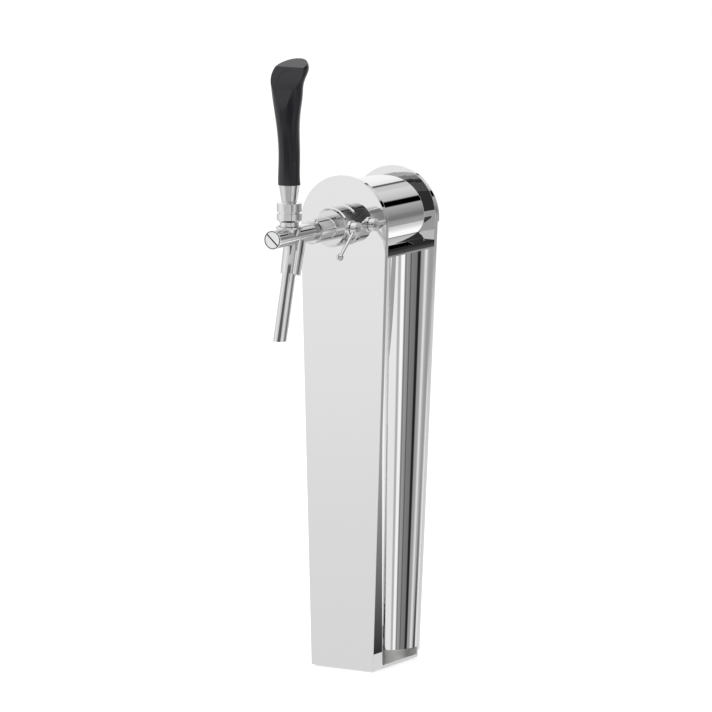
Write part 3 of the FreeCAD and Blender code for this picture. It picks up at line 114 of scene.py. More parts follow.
@dataclass(frozen=True)
class Patterns:
    """Shader node groups that several finishes share, each built once."""

    smear_detail: float = 4.0
    scratch_scale: float = 260.0
    scratch_detail: float = 2.0
    scratch_stretch: tuple[float, float, float] = (1.0, 1.0, 0.06)
    # Painted crease shade: occlusion samples and fade, and the speckle that breaks it up.
    shelter_samples: int = 12
    shelter: Fade = Fade(0.75, 0.4)
    speckle_scale: float = 420.0
    speckle_detail: float = 3.0
    speckle: Fade = Fade(0.2, 0.5)
    speckle_least: float = 0.6
    grain_detail: float = 3.0
    patch_scale: float = 45.0
    patch_detail: float = 2.0
    brush_stretch: tuple[float, float, float] = (1.0, 1.0, 40.0)
    brush_detail: float = 3.0
    # Height steps of the painted shade on a bar's end faces, as position and strength.
    end_shade_steps: tuple[tuple[float, float], ...] = (
        (0.0, 0.2), (1.0, 1.0), (0.14, 0.25), (0.26, 0.86), (0.6, 0.93), (0.72, 0.99))
    end_facing: float = 0.6
    sheet_facing: float = 0.7

    def _start(self, name: str, inputs: dict[str, float], outputs: dict[str, Kind]
               ) -> tuple[bpy.types.NodeTree, bpy.types.Node, bpy.types.Node]:
        """Makes an empty group with its sockets.

        Args:
            name: The group's name.
            inputs: Socket name to its default number.
            outputs: Socket name to its type.

        Returns:
            The group, its input node and its output node.
        """
        group = bpy.data.node_groups.new(name, "ShaderNodeTree")
        for socket_name, value in inputs.items():
            made = group.interface.new_socket(name=socket_name, in_out="INPUT", socket_type=Kind.NUMBER.value)
            made.default_value = value
        for socket_name, kind in outputs.items():
            group.interface.new_socket(name=socket_name, in_out="OUTPUT", socket_type=kind.value)
        return group, group.nodes.new("NodeGroupInput"), group.nodes.new("NodeGroupOutput")

    def _object_place(self, group: bpy.types.NodeTree, stretch: tuple[float, float, float] | None = None
                      ) -> bpy.types.NodeSocket:
        """Adds the place on the piece that a pattern is read at.

        Args:
            group: The node group.
            stretch: Factors along the three axes, or None for no stretch.

        Returns:
            The place's socket.
        """
        where = group.nodes.new("ShaderNodeTexCoord").outputs["Object"]
        if stretch is None:
            return where
        node = group.nodes.new("ShaderNodeVectorMath")
        node.operation = "MULTIPLY"
        node.inputs[1].default_value = stretch
        group.links.new(where, node.inputs[0])
        return node.outputs["Vector"]

    @cache
    def handling_marks(self) -> bpy.types.NodeTree:
        """Faint smears and hairline scratches that vary a finish's roughness.

        Returns:
            A group with Roughness, Marks and Size in, Roughness out.
        """
        group, source, sink = self._start(
            "handling_marks", {"Roughness": 0.05, "Marks": 0.03, "Size": 30.0}, {"Roughness": Kind.NUMBER})
        smear = add_noise(group, self._object_place(group), self.smear_detail, source.outputs["Size"])
        scratch = add_noise(group, self._object_place(group, self.scratch_stretch), self.scratch_detail,
                            self.scratch_scale)
        both = add_math(group, "MULTIPLY", smear, scratch)
        rough = add_math(group, "MULTIPLY_ADD", both, source.outputs["Marks"], source.outputs["Roughness"])
        group.links.new(rough, sink.inputs["Roughness"])
        return group

    @cache
    def painted_crease_shade(self) -> bpy.types.NodeTree:
        """Painted shade in grooves, slots and joints, from ambient occlusion, broken up by a fine pattern.

        Returns:
            A group with Reach and Strength in, Mask out.
        """
        group, source, sink = self._start("painted_crease_shade", {"Reach": 0.0015, "Strength": 1.0}, {"Mask": Kind.NUMBER})
        # Painted shade: the occlusion depth sets where the base colour darkens.
        shelter = group.nodes.new("ShaderNodeAmbientOcclusion")
        shelter.samples = self.shelter_samples
        group.links.new(source.outputs["Reach"], shelter.inputs["Distance"])
        depth = self.shelter.build(group, shelter.outputs["AO"])
        broken = group.nodes.new("ShaderNodeMapRange")
        broken.inputs["From Min"].default_value = self.speckle.start
        broken.inputs["From Max"].default_value = self.speckle.end
        broken.inputs["To Min"].default_value = self.speckle_least
        speckle = add_noise(group, self._object_place(group), self.speckle_detail, self.speckle_scale)
        group.links.new(speckle, broken.inputs["Value"])
        painted_shade = add_math(group, "MULTIPLY", depth, broken.outputs["Result"])
        mask = add_math(group, "MULTIPLY", painted_shade, source.outputs["Strength"])
        mask.node.use_clamp = True
        group.links.new(mask, sink.inputs["Mask"])
        return group

    @cache
    def fine_grain(self) -> bpy.types.NodeTree:
        """Fine grain of moulded or cut surfaces: a height and a dust mask.

        Returns:
            A group with Size and Shade in, Height and Mask out.
        """
        group, source, sink = self._start(
            "fine_grain", {"Size": 900.0, "Shade": 0.2}, {"Height": Kind.NUMBER, "Mask": Kind.NUMBER})
        where = self._object_place(group)
        grain = add_noise(group, where, self.grain_detail, source.outputs["Size"])
        patch = add_noise(group, where, self.patch_detail, self.patch_scale)
        group.links.new(grain, sink.inputs["Height"])
        group.links.new(add_math(group, "MULTIPLY", patch, source.outputs["Shade"]), sink.inputs["Mask"])
        return group

    @cache
    def brush_lines(self) -> bpy.types.NodeTree:
        """Level lines left by a brushing wheel, as a height.

        Returns:
            A group with Size in, Height out.
        """
        group, source, sink = self._start("brush_lines", {"Size": 60.0}, {"Height": Kind.NUMBER})
        line = add_noise(group, self._object_place(group, self.brush_stretch), self.brush_detail,
                         source.outputs["Size"])
        group.links.new(line, sink.inputs["Height"])
        return group

    @cache
    def painted_end_shade(self) -> bpy.types.NodeTree:
        """Painted shade on a bar's end faces, heaviest at the top and thin along the lower edge.

        Returns:
            A group with Foot and Head heights in, Mask out.
        """
        group, source, sink = self._start("painted_end_shade", {"Foot": 0.0, "Head": 1.0}, {"Mask": Kind.NUMBER})
        nodes, links = group.nodes, group.links
        where = nodes.new("ShaderNodeTexCoord")
        place = nodes.new("ShaderNodeSeparateXYZ")
        facing = nodes.new("ShaderNodeSeparateXYZ")
        climb = nodes.new("ShaderNodeMapRange")
        ramp = nodes.new("ShaderNodeValToRGB")
        elements = ramp.color_ramp.elements
        for index, (position, level) in enumerate(self.end_shade_steps):
            element = elements[index] if index < 2 else elements.new(position)
            element.position = position
            element.color = (level, level, level, 1.0)
        links.new(where.outputs["Object"], place.inputs["Vector"])
        links.new(where.outputs["Normal"], facing.inputs["Vector"])
        links.new(place.outputs["Z"], climb.inputs["Value"])
        links.new(source.outputs["Foot"], climb.inputs["From Min"])
        links.new(source.outputs["Head"], climb.inputs["From Max"])
        links.new(climb.outputs["Result"], ramp.inputs["Fac"])
        # Painted shade only on faces turned along X, graded by height.
        size = add_math(group, "ABSOLUTE", facing.outputs["X"])
        side = add_math(group, "GREATER_THAN", size, self.end_facing)
        links.new(add_math(group, "MULTIPLY", side, ramp.outputs["Color"]), sink.inputs["Mask"])
        return group

    @cache
    def round_sheet(self) -> bpy.types.NodeTree:
        """The true normal of a leaning half-round sheet that widens upwards.

        Returns:
            A group with the sheet's Depth, Height, Lean and Taper in, Normal out.
        """
        group, source, sink = self._start(
            "round_sheet", {"Depth": 0.0, "Height": 0.0, "Lean": 0.0, "Taper": 0.0}, {"Normal": Kind.VECTOR})
        nodes, links = group.nodes, group.links
        depth, height, lean, taper = (source.outputs[name] for name in ("Depth", "Height", "Lean", "Taper"))
        place = nodes.new("ShaderNodeSeparateXYZ")
        links.new(self._object_place(group), place.inputs["Vector"])
        across, along, up = (place.outputs[letter] for letter in "XYZ")
        climb = add_math(group, "SUBTRACT", up, height)
        middle = add_math(group, "MULTIPLY_ADD", climb, lean, depth)
        back = add_math(group, "SUBTRACT", along, middle)
        squares = add_math(group, "MULTIPLY_ADD", back, back, add_math(group, "MULTIPLY", across, across))
        spread = add_math(group, "MULTIPLY", add_math(group, "SQRT", squares), taper)
        fall = add_math(group, "MULTIPLY_ADD", back, lean, spread)
        out = nodes.new("ShaderNodeCombineXYZ")
        links.new(across, out.inputs["X"])
        links.new(back, out.inputs["Y"])
        links.new(add_math(group, "MULTIPLY", fall, -1.0), out.inputs["Z"])
        turned = nodes.new("ShaderNodeVectorTransform")
        turned.vector_type = "NORMAL"
        turned.convert_from = "OBJECT"
        turned.convert_to = "WORLD"
        links.new(out.outputs["Vector"], turned.inputs["Vector"])
        facing = nodes.new("ShaderNodeNewGeometry")
        match = nodes.new("ShaderNodeVectorMath")
        match.operation = "DOT_PRODUCT"
        links.new(turned.outputs["Vector"], match.inputs[0])
        links.new(facing.outputs["Normal"], match.inputs[1])
        on_sheet = add_math(group, "GREATER_THAN", match.outputs["Value"], self.sheet_facing)
        chosen = nodes.new("ShaderNodeMix")
        chosen.data_type = "VECTOR"
        links.new(on_sheet, chosen.inputs["Factor"])
        links.new(facing.outputs["Normal"], chosen.inputs["A"])
        links.new(turned.outputs["Vector"], chosen.inputs["B"])
        links.new(chosen.outputs["Result"], sink.inputs["Normal"])
        return group


PATTERNS = Patterns()


@dataclass(frozen=True)
class RoundSheet:
    """A leaning half-round sheet: where its axis starts, how it leans and how it widens."""

    depth: float
    height: float
    lean: float
    taper: float


@dataclass(frozen=True)
class EndShade:
    """Painted shade on a bar's ends between two heights."""

    foot: float
    head: float
    colour: Colour = (0.02, 0.02, 0.02)


@dataclass(frozen=True)
class Surface:
    """What every finish has: a name, a colour, a roughness and faint marks."""

    name: str
    colour: Colour
    roughness: float
    marks: float = 0.03
    mark_size: float = 30.0
    grain: float = 0.0
    grain_size: float = 900.0

    def _start(self) -> tuple[bpy.types.Material, bpy.types.NodeTree, bpy.types.Node]:
        """Makes a plain material of the finish's colour.

        Returns:
            The material, its node tree and its shader.
        """
        made = bpy.data.materials.new(self.name)
        made.use_nodes = True
        shader = made.node_tree.nodes["Principled BSDF"]
        shader.inputs["Base Color"].default_value = (*self.colour, 1.0)
        return made, made.node_tree, shader

    def _pattern(self, tree: bpy.types.NodeTree, group: bpy.types.NodeTree, values: dict[str, float]
                 ) -> bpy.types.Node:
        """Places a shared group in the material.

        Args:
            tree: The material's node tree.
            group: The group.
            values: Input name to its number.

        Returns:
            The group's node.
        """
        node = tree.nodes.new("ShaderNodeGroup")
        node.node_tree = group
        for name, value in values.items():
            node.inputs[name].default_value = value
        return node

    def _tint(self, tree: bpy.types.NodeTree, mask: bpy.types.NodeSocket, colour: Colour) -> None:
        """Shades the finish where a mask says so.

        Args:
            tree: The material's node tree.
            mask: The mask.
            colour: The colour under the mask.
        """
        tint = tree.nodes.new("ShaderNodeMix")
        tint.data_type = "RGBA"
        tint.inputs["A"].default_value = (*self.colour, 1.0)
        tint.inputs["B"].default_value = (*colour, 1.0)
        tree.links.new(mask, tint.inputs["Factor"])
        tree.links.new(tint.outputs["Result"], tree.nodes["Principled BSDF"].inputs["Base Color"])

    def _mark(self, tree: bpy.types.NodeTree) -> None:
        """Varies the roughness by handling marks.

        Args:
            tree: The material's node tree.
        """
        marks = self._pattern(tree, PATTERNS.handling_marks(), {
            "Roughness": self.roughness, "Marks": self.marks, "Size": self.mark_size})
        tree.links.new(marks.outputs["Roughness"], tree.nodes["Principled BSDF"].inputs["Roughness"])

    def _emboss(self, tree: bpy.types.NodeTree, height: bpy.types.NodeSocket, depth: float) -> None:
        """Raises a pattern on the finish.

        Args:
            tree: The material's node tree.
            height: The pattern.
            depth: How deep it is, in metres.
        """
        bump = tree.nodes.new("ShaderNodeBump")
        bump.inputs["Distance"].default_value = depth
        tree.links.new(height, bump.inputs["Height"])
        tree.links.new(bump.outputs["Normal"], tree.nodes["Principled BSDF"].inputs["Normal"])


@dataclass(frozen=True)
class Metal(Surface):
    """A bare or plated metal finish."""

    # Painted shade in creases: its strength, its reach and its colour.
    crease_shade: float = 0.0
    crease_shade_reach: float = 0.0015
    crease_shade_colour: Colour = (0.05, 0.05, 0.05)
    brushed: float = 0.0
    edge: float = 0.0
    edge_samples: int = 6
    sheet: RoundSheet | None = None
    # Painted shade on a bar's end faces, graded by height.
    painted_shade: EndShade | None = None

    def build(self) -> bpy.types.Material:
        """Builds the material.

        Returns:
            The material.
        """
        made, tree, shader = self._start()
        shader.inputs["Metallic"].default_value = 1.0
        # Painted shade: the base colour darkens in grooves, slots and joints by ambient occlusion.
        if self.crease_shade:
            creases = self._pattern(tree, PATTERNS.painted_crease_shade(), {
                "Reach": self.crease_shade_reach, "Strength": self.crease_shade})
            self._tint(tree, creases.outputs["Mask"], self.crease_shade_colour)
        # Painted shade: the base colour darkens on a bar's end faces, graded by height.
        if self.painted_shade:
            ends = self._pattern(tree, PATTERNS.painted_end_shade(), {"Foot": self.painted_shade.foot, "Head": self.painted_shade.head})
            self._tint(tree, ends.outputs["Mask"], self.painted_shade.colour)
        if self.sheet:
            form = self._pattern(tree, PATTERNS.round_sheet(), {
                "Depth": self.sheet.depth, "Height": self.sheet.height, "Lean": self.sheet.lean,
                "Taper": self.sheet.taper})
            tree.links.new(form.outputs["Normal"], shader.inputs["Normal"])
        if self.edge:
            rounding = tree.nodes.new("ShaderNodeBevel")
            rounding.samples = self.edge_samples
            rounding.inputs["Radius"].default_value = self.edge
            tree.links.new(rounding.outputs["Normal"], shader.inputs["Normal"])
        self._mark(tree)
        if self.brushed or self.grain:
            group = PATTERNS.brush_lines() if self.brushed else PATTERNS.fine_grain()
            pattern = self._pattern(tree, group, {"Size": self.grain_size})
            self._emboss(tree, pattern.outputs["Height"], self.brushed or self.grain)
        return made


@dataclass(frozen=True)
class Moulding(Surface):
    """A plastic, rubber or foam finish."""

    marks: float = 0.08
    grain: float = 0.00002
    dust: Colour = (0.05, 0.05, 0.05)
    shade: float = 0.2

    def build(self) -> bpy.types.Material:
        """Builds the material.

        Returns:
            The material.
        """
        made, tree, _ = self._start()
        grain = self._pattern(tree, PATTERNS.fine_grain(), {"Size": self.grain_size, "Shade": self.shade})
        self._tint(tree, grain.outputs["Mask"], self.dust)
        self._emboss(tree, grain.outputs["Height"], self.grain)
        self._mark(tree)
        return made


class Finish(Enum):
    """Every finish on the tower."""

    MIRROR = Metal("mirror_steel", STEEL, 0.008, marks=0.015)
    PLATE = Metal("folded_mirror_plate", STEEL, 0.008, marks=0.015, edge=0.0006)
    COLUMN = Metal("rolled_mirror_sheet", STEEL, 0.008, marks=0.015,
                   sheet=RoundSheet(depth=0.03975, height=0.00162, lean=0.024055, taper=0.032791))
    COLLAR = Metal("brushed_collar", (0.56, 0.56, 0.55), 0.3, marks=0.1, brushed=0.00002, grain_size=30.0)
    # The rail's end faces carry painted shade, graded between two heights.
    RAIL = Metal("end_shaded_steel_rail", STEEL, 0.02, marks=0.05, mark_size=45.0,
                 painted_shade=EndShade(foot=0.4083, head=0.4163))
    # Chrome and the cap carry painted crease shade; the cap's is darker and reaches further, into its groove ring.
    CHROME = Metal("chrome_plate", PLATING, 0.02, mark_size=60.0, crease_shade=1.0, edge=0.0003)
    CAP = Metal("slotted_chrome", PLATING, 0.02, mark_size=60.0, crease_shade=1.0, crease_shade_reach=0.0022,
                crease_shade_colour=(0.01, 0.01, 0.01))
    SATIN = Metal("satin_steel", (0.62, 0.62, 0.61), 0.28, marks=0.12, grain=0.00001, grain_size=1400.0)
    LINE = Metal("drawn_steel_line", (0.7, 0.7, 0.69), 0.2, marks=0.1, grain=0.00001, grain_size=700.0)
    BRASS = Metal("machined_brass", (0.72, 0.52, 0.22), 0.22, marks=0.12, grain=0.00001, grain_size=1200.0)
    BLACK_GLOSS = Moulding("black_handle", (0.002, 0.002, 0.0022), 0.12, dust=(0.006, 0.006, 0.006), shade=0.15,
                           grain=0.000002)
    RUBBER = Moulding("black_rubber", (0.018, 0.018, 0.018), 0.62, dust=(0.05, 0.05, 0.048), shade=0.5)
    WHITE_PLASTIC = Moulding("white_plastic", (0.78, 0.78, 0.75), 0.42, dust=(0.6, 0.6, 0.58))
    FOAM = Moulding("sleeve_foam", (0.06, 0.06, 0.062), 0.85, dust=(0.14, 0.14, 0.14), shade=0.7, grain=0.0002,
                    grain_size=500.0)

    def material(self) -> bpy.types.Material:
        """Gives the finish's material, built on first use.

        Returns:
            The material.
        """
        return bpy.data.materials.get(self.value.name) or self.value.build()


@dataclass
class Assembly:
    """A group of solids that are dressed together."""

    finishes: dict[str, Finish] = field(default_factory=dict)

    def dress(self) -> None:
        """Gives each solid of the group its finish."""
        for node, finish in self.finishes.items():
            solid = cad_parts[node]
            solid.data.materials.clear()
            solid.data.materials.append(finish.material())
            LOG.info("%s: %s", node, finish.value.name)


@dataclass
class Tower(Assembly):
    """Plates, drum, column and foot."""

    finishes: dict[str, Finish] = field(default_factory=lambda: {
        "front_panel": Finish.PLATE,
        "rear_panel": Finish.PLATE,
        "rear_cover": Finish.MIRROR,
        "rear_lid": Finish.MIRROR,
        "drum_tube": Finish.MIRROR,
        "top_rail": Finish.RAIL,
        "column_shell": Finish.COLUMN,
        "column_collar": Finish.COLLAR,
        "base_plate": Finish.MIRROR,
        "base_gasket": Finish.RUBBER,
        "base_grommet": Finish.RUBBER,
        "cover_screws": Finish.SATIN,
        "foot_screws": Finish.SATIN,
        "front_foot_bracket": Finish.SATIN,
        "rear_foot_bracket": Finish.SATIN,
    })


@dataclass
class BeerPath(Assembly):
    """Shank, elbow, line and sleeve inside the tower."""

    finishes: dict[str, Finish] = field(default_factory=lambda: {
        "shank": Finish.SATIN,
        "shank_washer": Finish.SATIN,
        "shank_locknut": Finish.BRASS,
        "tail_nut": Finish.BRASS,
        "tail_elbow": Finish.SATIN,
        "line_nut": Finish.SATIN,
        "product_line": Finish.LINE,
        "insulation_sleeve": Finish.FOAM,
    })


@dataclass
class FlowControl(Assembly):
    """Escutcheon, compensator and flow lever."""

    finishes: dict[str, Finish] = field(default_factory=lambda: {
        "shank_flange": Finish.CHROME,
        "compensator_housing": Finish.CHROME,
        "compensator_cone": Finish.WHITE_PLASTIC,
        "flow_lever": Finish.CHROME,
        "flow_lever_screw": Finish.SATIN,
        "flow_lever_seal": Finish.RUBBER,
    })


@dataclass
class Tap(Assembly):
    """Tap body, valve, lever and spout."""

    finishes: dict[str, Finish] = field(default_factory=lambda: {
        "tap_body": Finish.CHROME,
        "front_cap": Finish.CAP,
        "front_cap_seal": Finish.RUBBER,
        "rod_bush": Finish.WHITE_PLASTIC,
        "valve_plunger": Finish.SATIN,
        "plunger_washer": Finish.RUBBER,
        "hinge_pin": Finish.SATIN,
        "lever_yoke": Finish.CHROME,
        "lever_finger": Finish.SATIN,
        "lever_stud": Finish.SATIN,
        "lever_locknut": Finish.CHROME,
        "lever_ferrule": Finish.CHROME,
        "handle_insert": Finish.BRASS,
        "handle": Finish.BLACK_GLOSS,
        "spout_socket": Finish.CHROME,
        "spout_seal": Finish.RUBBER,
        "spout_tube": Finish.CHROME,
    })


@dataclass(frozen=True)
class Stop:
    """One step of a band of the surroundings: an angle in degrees and a brightness."""

    angle: float
    level: float


class Side(Enum):
    """Which way a flag's width runs."""

    ACROSS = (1.0, 0.0, 0.0)
    ALONG = (0.0, 1.0, 0.0)


@dataclass(frozen=True)
class Flag:
    """An upright screen: its middle, the run of its width, its width and height, and its brightness at its head.

    The brightness at its foot is the same unless foot_level is given.
    """

    name: str
    middle: tuple[float, float, float]
    run: Side
    width: float
    height: float
    level: float
    foot_level: float | None = None


@dataclass(frozen=True)
class Arch:
    """A bent screen round the tap's axis: its radii, its end angles in degrees and its brightness."""

    name: str
    inner: float
    outer: float
    start: float
    end: float
    level: float


@dataclass(frozen=True)
class Lamp:
    """A soft square lamp: where it stands, the side of its face in metres and its power in watts."""

    name: str
    place: tuple[float, float, float]
    size: float
    power: float


@dataclass
class Studio:
    """Floor, lamps, screens and surroundings.

    Polished surfaces see four bands. The column's band and the tap's go round the tower by bearing, counted from
    band_turn: the first between the heights column_bottom and column_top, the second above and below them. The
    bands behind and ahead go round the tap's axis, by roll.
    """

    band_turn: float = 30.779
    floor_half: float = 6.0
    floor_tone: float = 0.8
    floor_roughness: float = 0.9
    floor_lift: float = 0.45
    room_level: float = 0.75
    lamp_aim: tuple[float, float, float] = (0.0, 0.0, 0.3)
    lamps: tuple[Lamp, ...] = (
        Lamp("key", (-1.2, -1.6, 1.9), 1.4, 26.0),
        Lamp("fill", (1.8, -1.0, 1.2), 1.6, 12.0))
    column_top: Fade = Fade(-0.138, -0.15)
    column_bottom: Fade = Fade(-0.29, -0.25)
    dim: Fade = Fade(-0.12, -0.21)
    dim_share: float = -0.14
    rearward: Fade = Fade(0.55, 0.7)
    lifted: Fade = Fade(0.2, 0.3)
    overhead: Fade = Fade(0.62, 0.72)
    overhead_level: float = 0.95
    column_band: tuple[Stop, ...] = (
        Stop(-180, 0.83), Stop(-42, 0.83), Stop(-30, 0.93), Stop(13.5, 0.95), Stop(14.6, 0.5), Stop(20.3, 0.53),
        Stop(22.2, 1.1), Stop(29.6, 1.1), Stop(31.4, 0.25), Stop(34.9, 0.25), Stop(36.9, 0.42), Stop(39.5, 0.34),
        Stop(44.6, 0.33), Stop(45.5, 0.068), Stop(47.2, 0.068), Stop(48.2, 0.25), Stop(60, 0.22), Stop(62.5, 0.22),
        Stop(65, 0.02), Stop(72.2, 0.02), Stop(75, 0.38), Stop(83, 0.42), Stop(86, 0.6), Stop(88, 0.87),
        Stop(93.7, 0.87), Stop(95, 0.61), Stop(101.5, 0.61), Stop(103.5, 0.32), Stop(180, 0.32))
    tap_band: tuple[Stop, ...] = (
        Stop(-180, 0.8), Stop(-150, 0.6), Stop(-120, 0.7), Stop(-100, 0.92), Stop(-78, 0.92), Stop(-70, 0.83),
        Stop(-54, 0.83), Stop(-46, 0.52), Stop(0, 0.5), Stop(12, 0.62), Stop(28, 0.75), Stop(36, 0.92),
        Stop(52, 0.85), Stop(62, 0.5), Stop(76, 0.3), Stop(84, 0.14), Stop(100, 0.14), Stop(116, 0.25),
        Stop(130, 0.5), Stop(180, 0.8))
    behind: tuple[Stop, ...] = (
        Stop(-180, 0.9), Stop(-90, 0.6), Stop(-60, 1.0), Stop(-38, 1.05), Stop(-28, 0.74), Stop(-19.4, 0.62),
        Stop(-18.6, 0.35), Stop(-12, 0.35), Stop(-6, 0.3), Stop(0, 0.19), Stop(8, 0.21), Stop(14, 0.28),
        Stop(24, 0.35), Stop(34, 0.43), Stop(36.5, 0.0), Stop(50, 0.0), Stop(52.5, 0.5), Stop(60, 0.58),
        Stop(80, 0.7), Stop(88, 0.6), Stop(99, 0.6), Stop(103.5, 0.08), Stop(107, 0.08), Stop(110, 0.85),
        Stop(130, 0.95), Stop(180, 0.97))
    ahead: tuple[Stop, ...] = (
        Stop(-180, 0.85), Stop(-90, 0.6), Stop(-20, 0.45), Stop(5, 0.55), Stop(90, 0.6), Stop(120, 0.62),
        Stop(150, 0.66), Stop(168, 0.85), Stop(180, 0.85))
    flags: tuple[Flag, ...] = (
        Flag("spout_flag", (0.0125, -0.2, 0.3635), Side.ACROSS, 0.039, 0.127, 0.12),
        Flag("ferrule_flag", (0.12, -0.06, 0.415), Side.ALONG, 0.06, 0.026, 0.05),
        Flag("fold_flag", (0.2, 0.226, 0.25), Side.ALONG, 0.072, 0.22, 0.34),
        Flag("fold_foot_flag", (0.2, 0.226, 0.04), Side.ALONG, 0.072, 0.2, 0.34, 0.03))
    tap_axis: float = 0.438
    arch_depth: float = -0.2
    arch_step: float = 4.0
    arches: tuple[Arch, ...] = (
        Arch("dark_arch", 0.096, 0.128, 5, 84, 0.04),
        Arch("grey_arch", 0.096, 0.128, 84, 120, 0.36),
        Arch("inner_arch", 0.058, 0.084, -20, 60, 0.27),
        Arch("upper_arch", 0.058, 0.09, 60, 110, 0.2),
        Arch("drum_low_arch", 0.158, 0.215, -55, 8, 0.36),
        Arch("drum_dark_arch", 0.158, 0.215, 8, 58, 0.03),
        Arch("drum_upper_arch", 0.158, 0.215, 58, 100, 0.075),
        Arch("drum_top_arch", 0.158, 0.215, 100, 116, 0.22),
        Arch("drum_back_arch", 0.158, 0.205, 116, 146, 0.42),
        Arch("outer_arch", 0.24, 0.33, 8, 62, 0.04))

    def _ramp(self, tree: bpy.types.NodeTree, stops: tuple[Stop, ...], angle: bpy.types.NodeSocket
              ) -> bpy.types.NodeSocket:
        """Brightness against an angle.

        Args:
            tree: The world's node tree.
            stops: The band's stops, in order.
            angle: The socket that gives the angle in degrees.

        Returns:
            The ramp's colour socket.
        """
        first = stops[0].angle
        last = stops[-1].angle
        spread = tree.nodes.new("ShaderNodeMapRange")
        spread.inputs["From Min"].default_value = first
        spread.inputs["From Max"].default_value = last
        ramp = tree.nodes.new("ShaderNodeValToRGB")
        ramp.color_ramp.interpolation = "LINEAR"
        elements = ramp.color_ramp.elements
        for stop, element in zip((stops[0], stops[-1]), (elements[0], elements[1])):
            element.position = (stop.angle - first) / (last - first)
            element.color = (stop.level, stop.level, stop.level, 1.0)
        for stop in stops[1:-1]:
            element = elements.new((stop.angle - first) / (last - first))
            element.color = (stop.level, stop.level, stop.level, 1.0)
        tree.links.new(angle, spread.inputs["Value"])
        tree.links.new(spread.outputs["Result"], ramp.inputs["Fac"])
        return ramp.outputs["Color"]

    def _mix(self, tree: bpy.types.NodeTree, factor: bpy.types.NodeSocket, low: bpy.types.NodeSocket | float,
             high: bpy.types.NodeSocket | float) -> bpy.types.NodeSocket:
        """A mix of two brightnesses.

        Args:
            tree: The node tree.
            factor: The share of the second one.
            low: The first, a socket or a grey level.
            high: The second, a socket or a grey level.

        Returns:
            The mixed colour.
        """
        node = tree.nodes.new("ShaderNodeMix")
        node.data_type = "RGBA"
        tree.links.new(factor, node.inputs["Factor"])
        for name, value in (("A", low), ("B", high)):
            if isinstance(value, (int, float)):
                node.inputs[name].default_value = (value, value, value, 1.0)
            else:
                tree.links.new(value, node.inputs[name])
        return node.outputs["Result"]

    def build_world(self) -> None:
        """White to the camera, plain to matt surfaces, and banded by dark screens to polished ones."""
        world = bpy.data.worlds.new("studio")
        bpy.context.scene.world = world
        world.use_nodes = True
        tree = world.node_tree
        tree.nodes.clear()
        where = tree.nodes.new("ShaderNodeTexCoord")
        parts = tree.nodes.new("ShaderNodeSeparateXYZ")
        tree.links.new(where.outputs["Generated"], parts.inputs["Vector"])
        across, along, up = (parts.outputs[letter] for letter in "XYZ")
        front = add_math(tree, "MULTIPLY", along, -1.0)
        degrees = add_math(tree, "DEGREES", add_math(tree, "ARCTAN2", across, front))
        angle = add_math(tree, "WRAP", add_math(tree, "SUBTRACT", degrees, self.band_turn), 180.0, -180.0)
        on_column = add_math(tree, "MULTIPLY", self.column_top.build(tree, up), self.column_bottom.build(tree, up))
        sides = self._mix(tree, on_column, self._ramp(tree, self.tap_band, angle),
                          self._ramp(tree, self.column_band, angle))
        level = tree.nodes.new("ShaderNodeMix")
        level.data_type = "RGBA"
        level.blend_type = "MULTIPLY"
        level.inputs["Factor"].default_value = 1.0
        tree.links.new(sides, level.inputs["A"])
        tree.links.new(add_math(tree, "MULTIPLY_ADD", self.dim.build(tree, up), self.dim_share, 1.0),
                       level.inputs["B"])
        roll = add_math(tree, "DEGREES", add_math(tree, "ARCTAN2", up, across))
        is_back = add_math(tree, "GREATER_THAN", along, 0.0)
        upper = self._mix(tree, is_back, self._ramp(tree, self.ahead, roll), self._ramp(tree, self.behind, roll))
        high = add_math(tree, "MAXIMUM", self.rearward.build(tree, along), self.lifted.build(tree, up))
        banded = self._mix(tree, high, level.outputs["Result"], upper)
        polished = self._mix(tree, self.overhead.build(tree, up), banded, self.overhead_level)
        path = tree.nodes.new("ShaderNodeLightPath")
        seen = self._mix(tree, path.outputs["Is Glossy Ray"], self.room_level, polished)
        final = self._mix(tree, path.outputs["Is Camera Ray"], seen, 1.0)
        shade = tree.nodes.new("ShaderNodeBackground")
        out = tree.nodes.new("ShaderNodeOutputWorld")
        tree.links.new(final, shade.inputs["Color"])
        tree.links.new(shade.outputs["Background"], out.inputs["Surface"])
        bands = (self.column_band, self.tap_band, self.behind, self.ahead)
        LOG.info("surroundings: %d steps", sum(len(band) for band in bands))

    def add_screen(self, name: str, corners: list[Vector], faces: list[tuple[int, ...]], level: float
                   ) -> bpy.types.NodeTree:
        """Adds one screen that only polished surfaces see.

        Args:
            name: The screen's name.
            corners: Its corners.
            faces: Its faces.
            level: Its brightness.

        Returns:
            The node tree of the screen's material.
        """
        mesh = bpy.data.meshes.new(name)
        mesh.from_pydata(corners, [], faces)
        screen = bpy.data.objects.new(name, mesh)
        paint = bpy.data.materials.new(name)
        paint.use_nodes = True
        shader = paint.node_tree.nodes["Principled BSDF"]
        shader.inputs["Base Color"].default_value = (0.0, 0.0, 0.0, 1.0)
        shader.inputs["Specular IOR Level"].default_value = 0.0
        shader.inputs["Emission Color"].default_value = (level, level, level, 1.0)
        shader.inputs["Emission Strength"].default_value = 1.0
        mesh.materials.append(paint)
        screen.visible_camera = False
        screen.visible_diffuse = False
        screen.visible_shadow = False
        bpy.context.scene.collection.objects.link(screen)
        LOG.info("screen: %s", name)
        return paint.node_tree

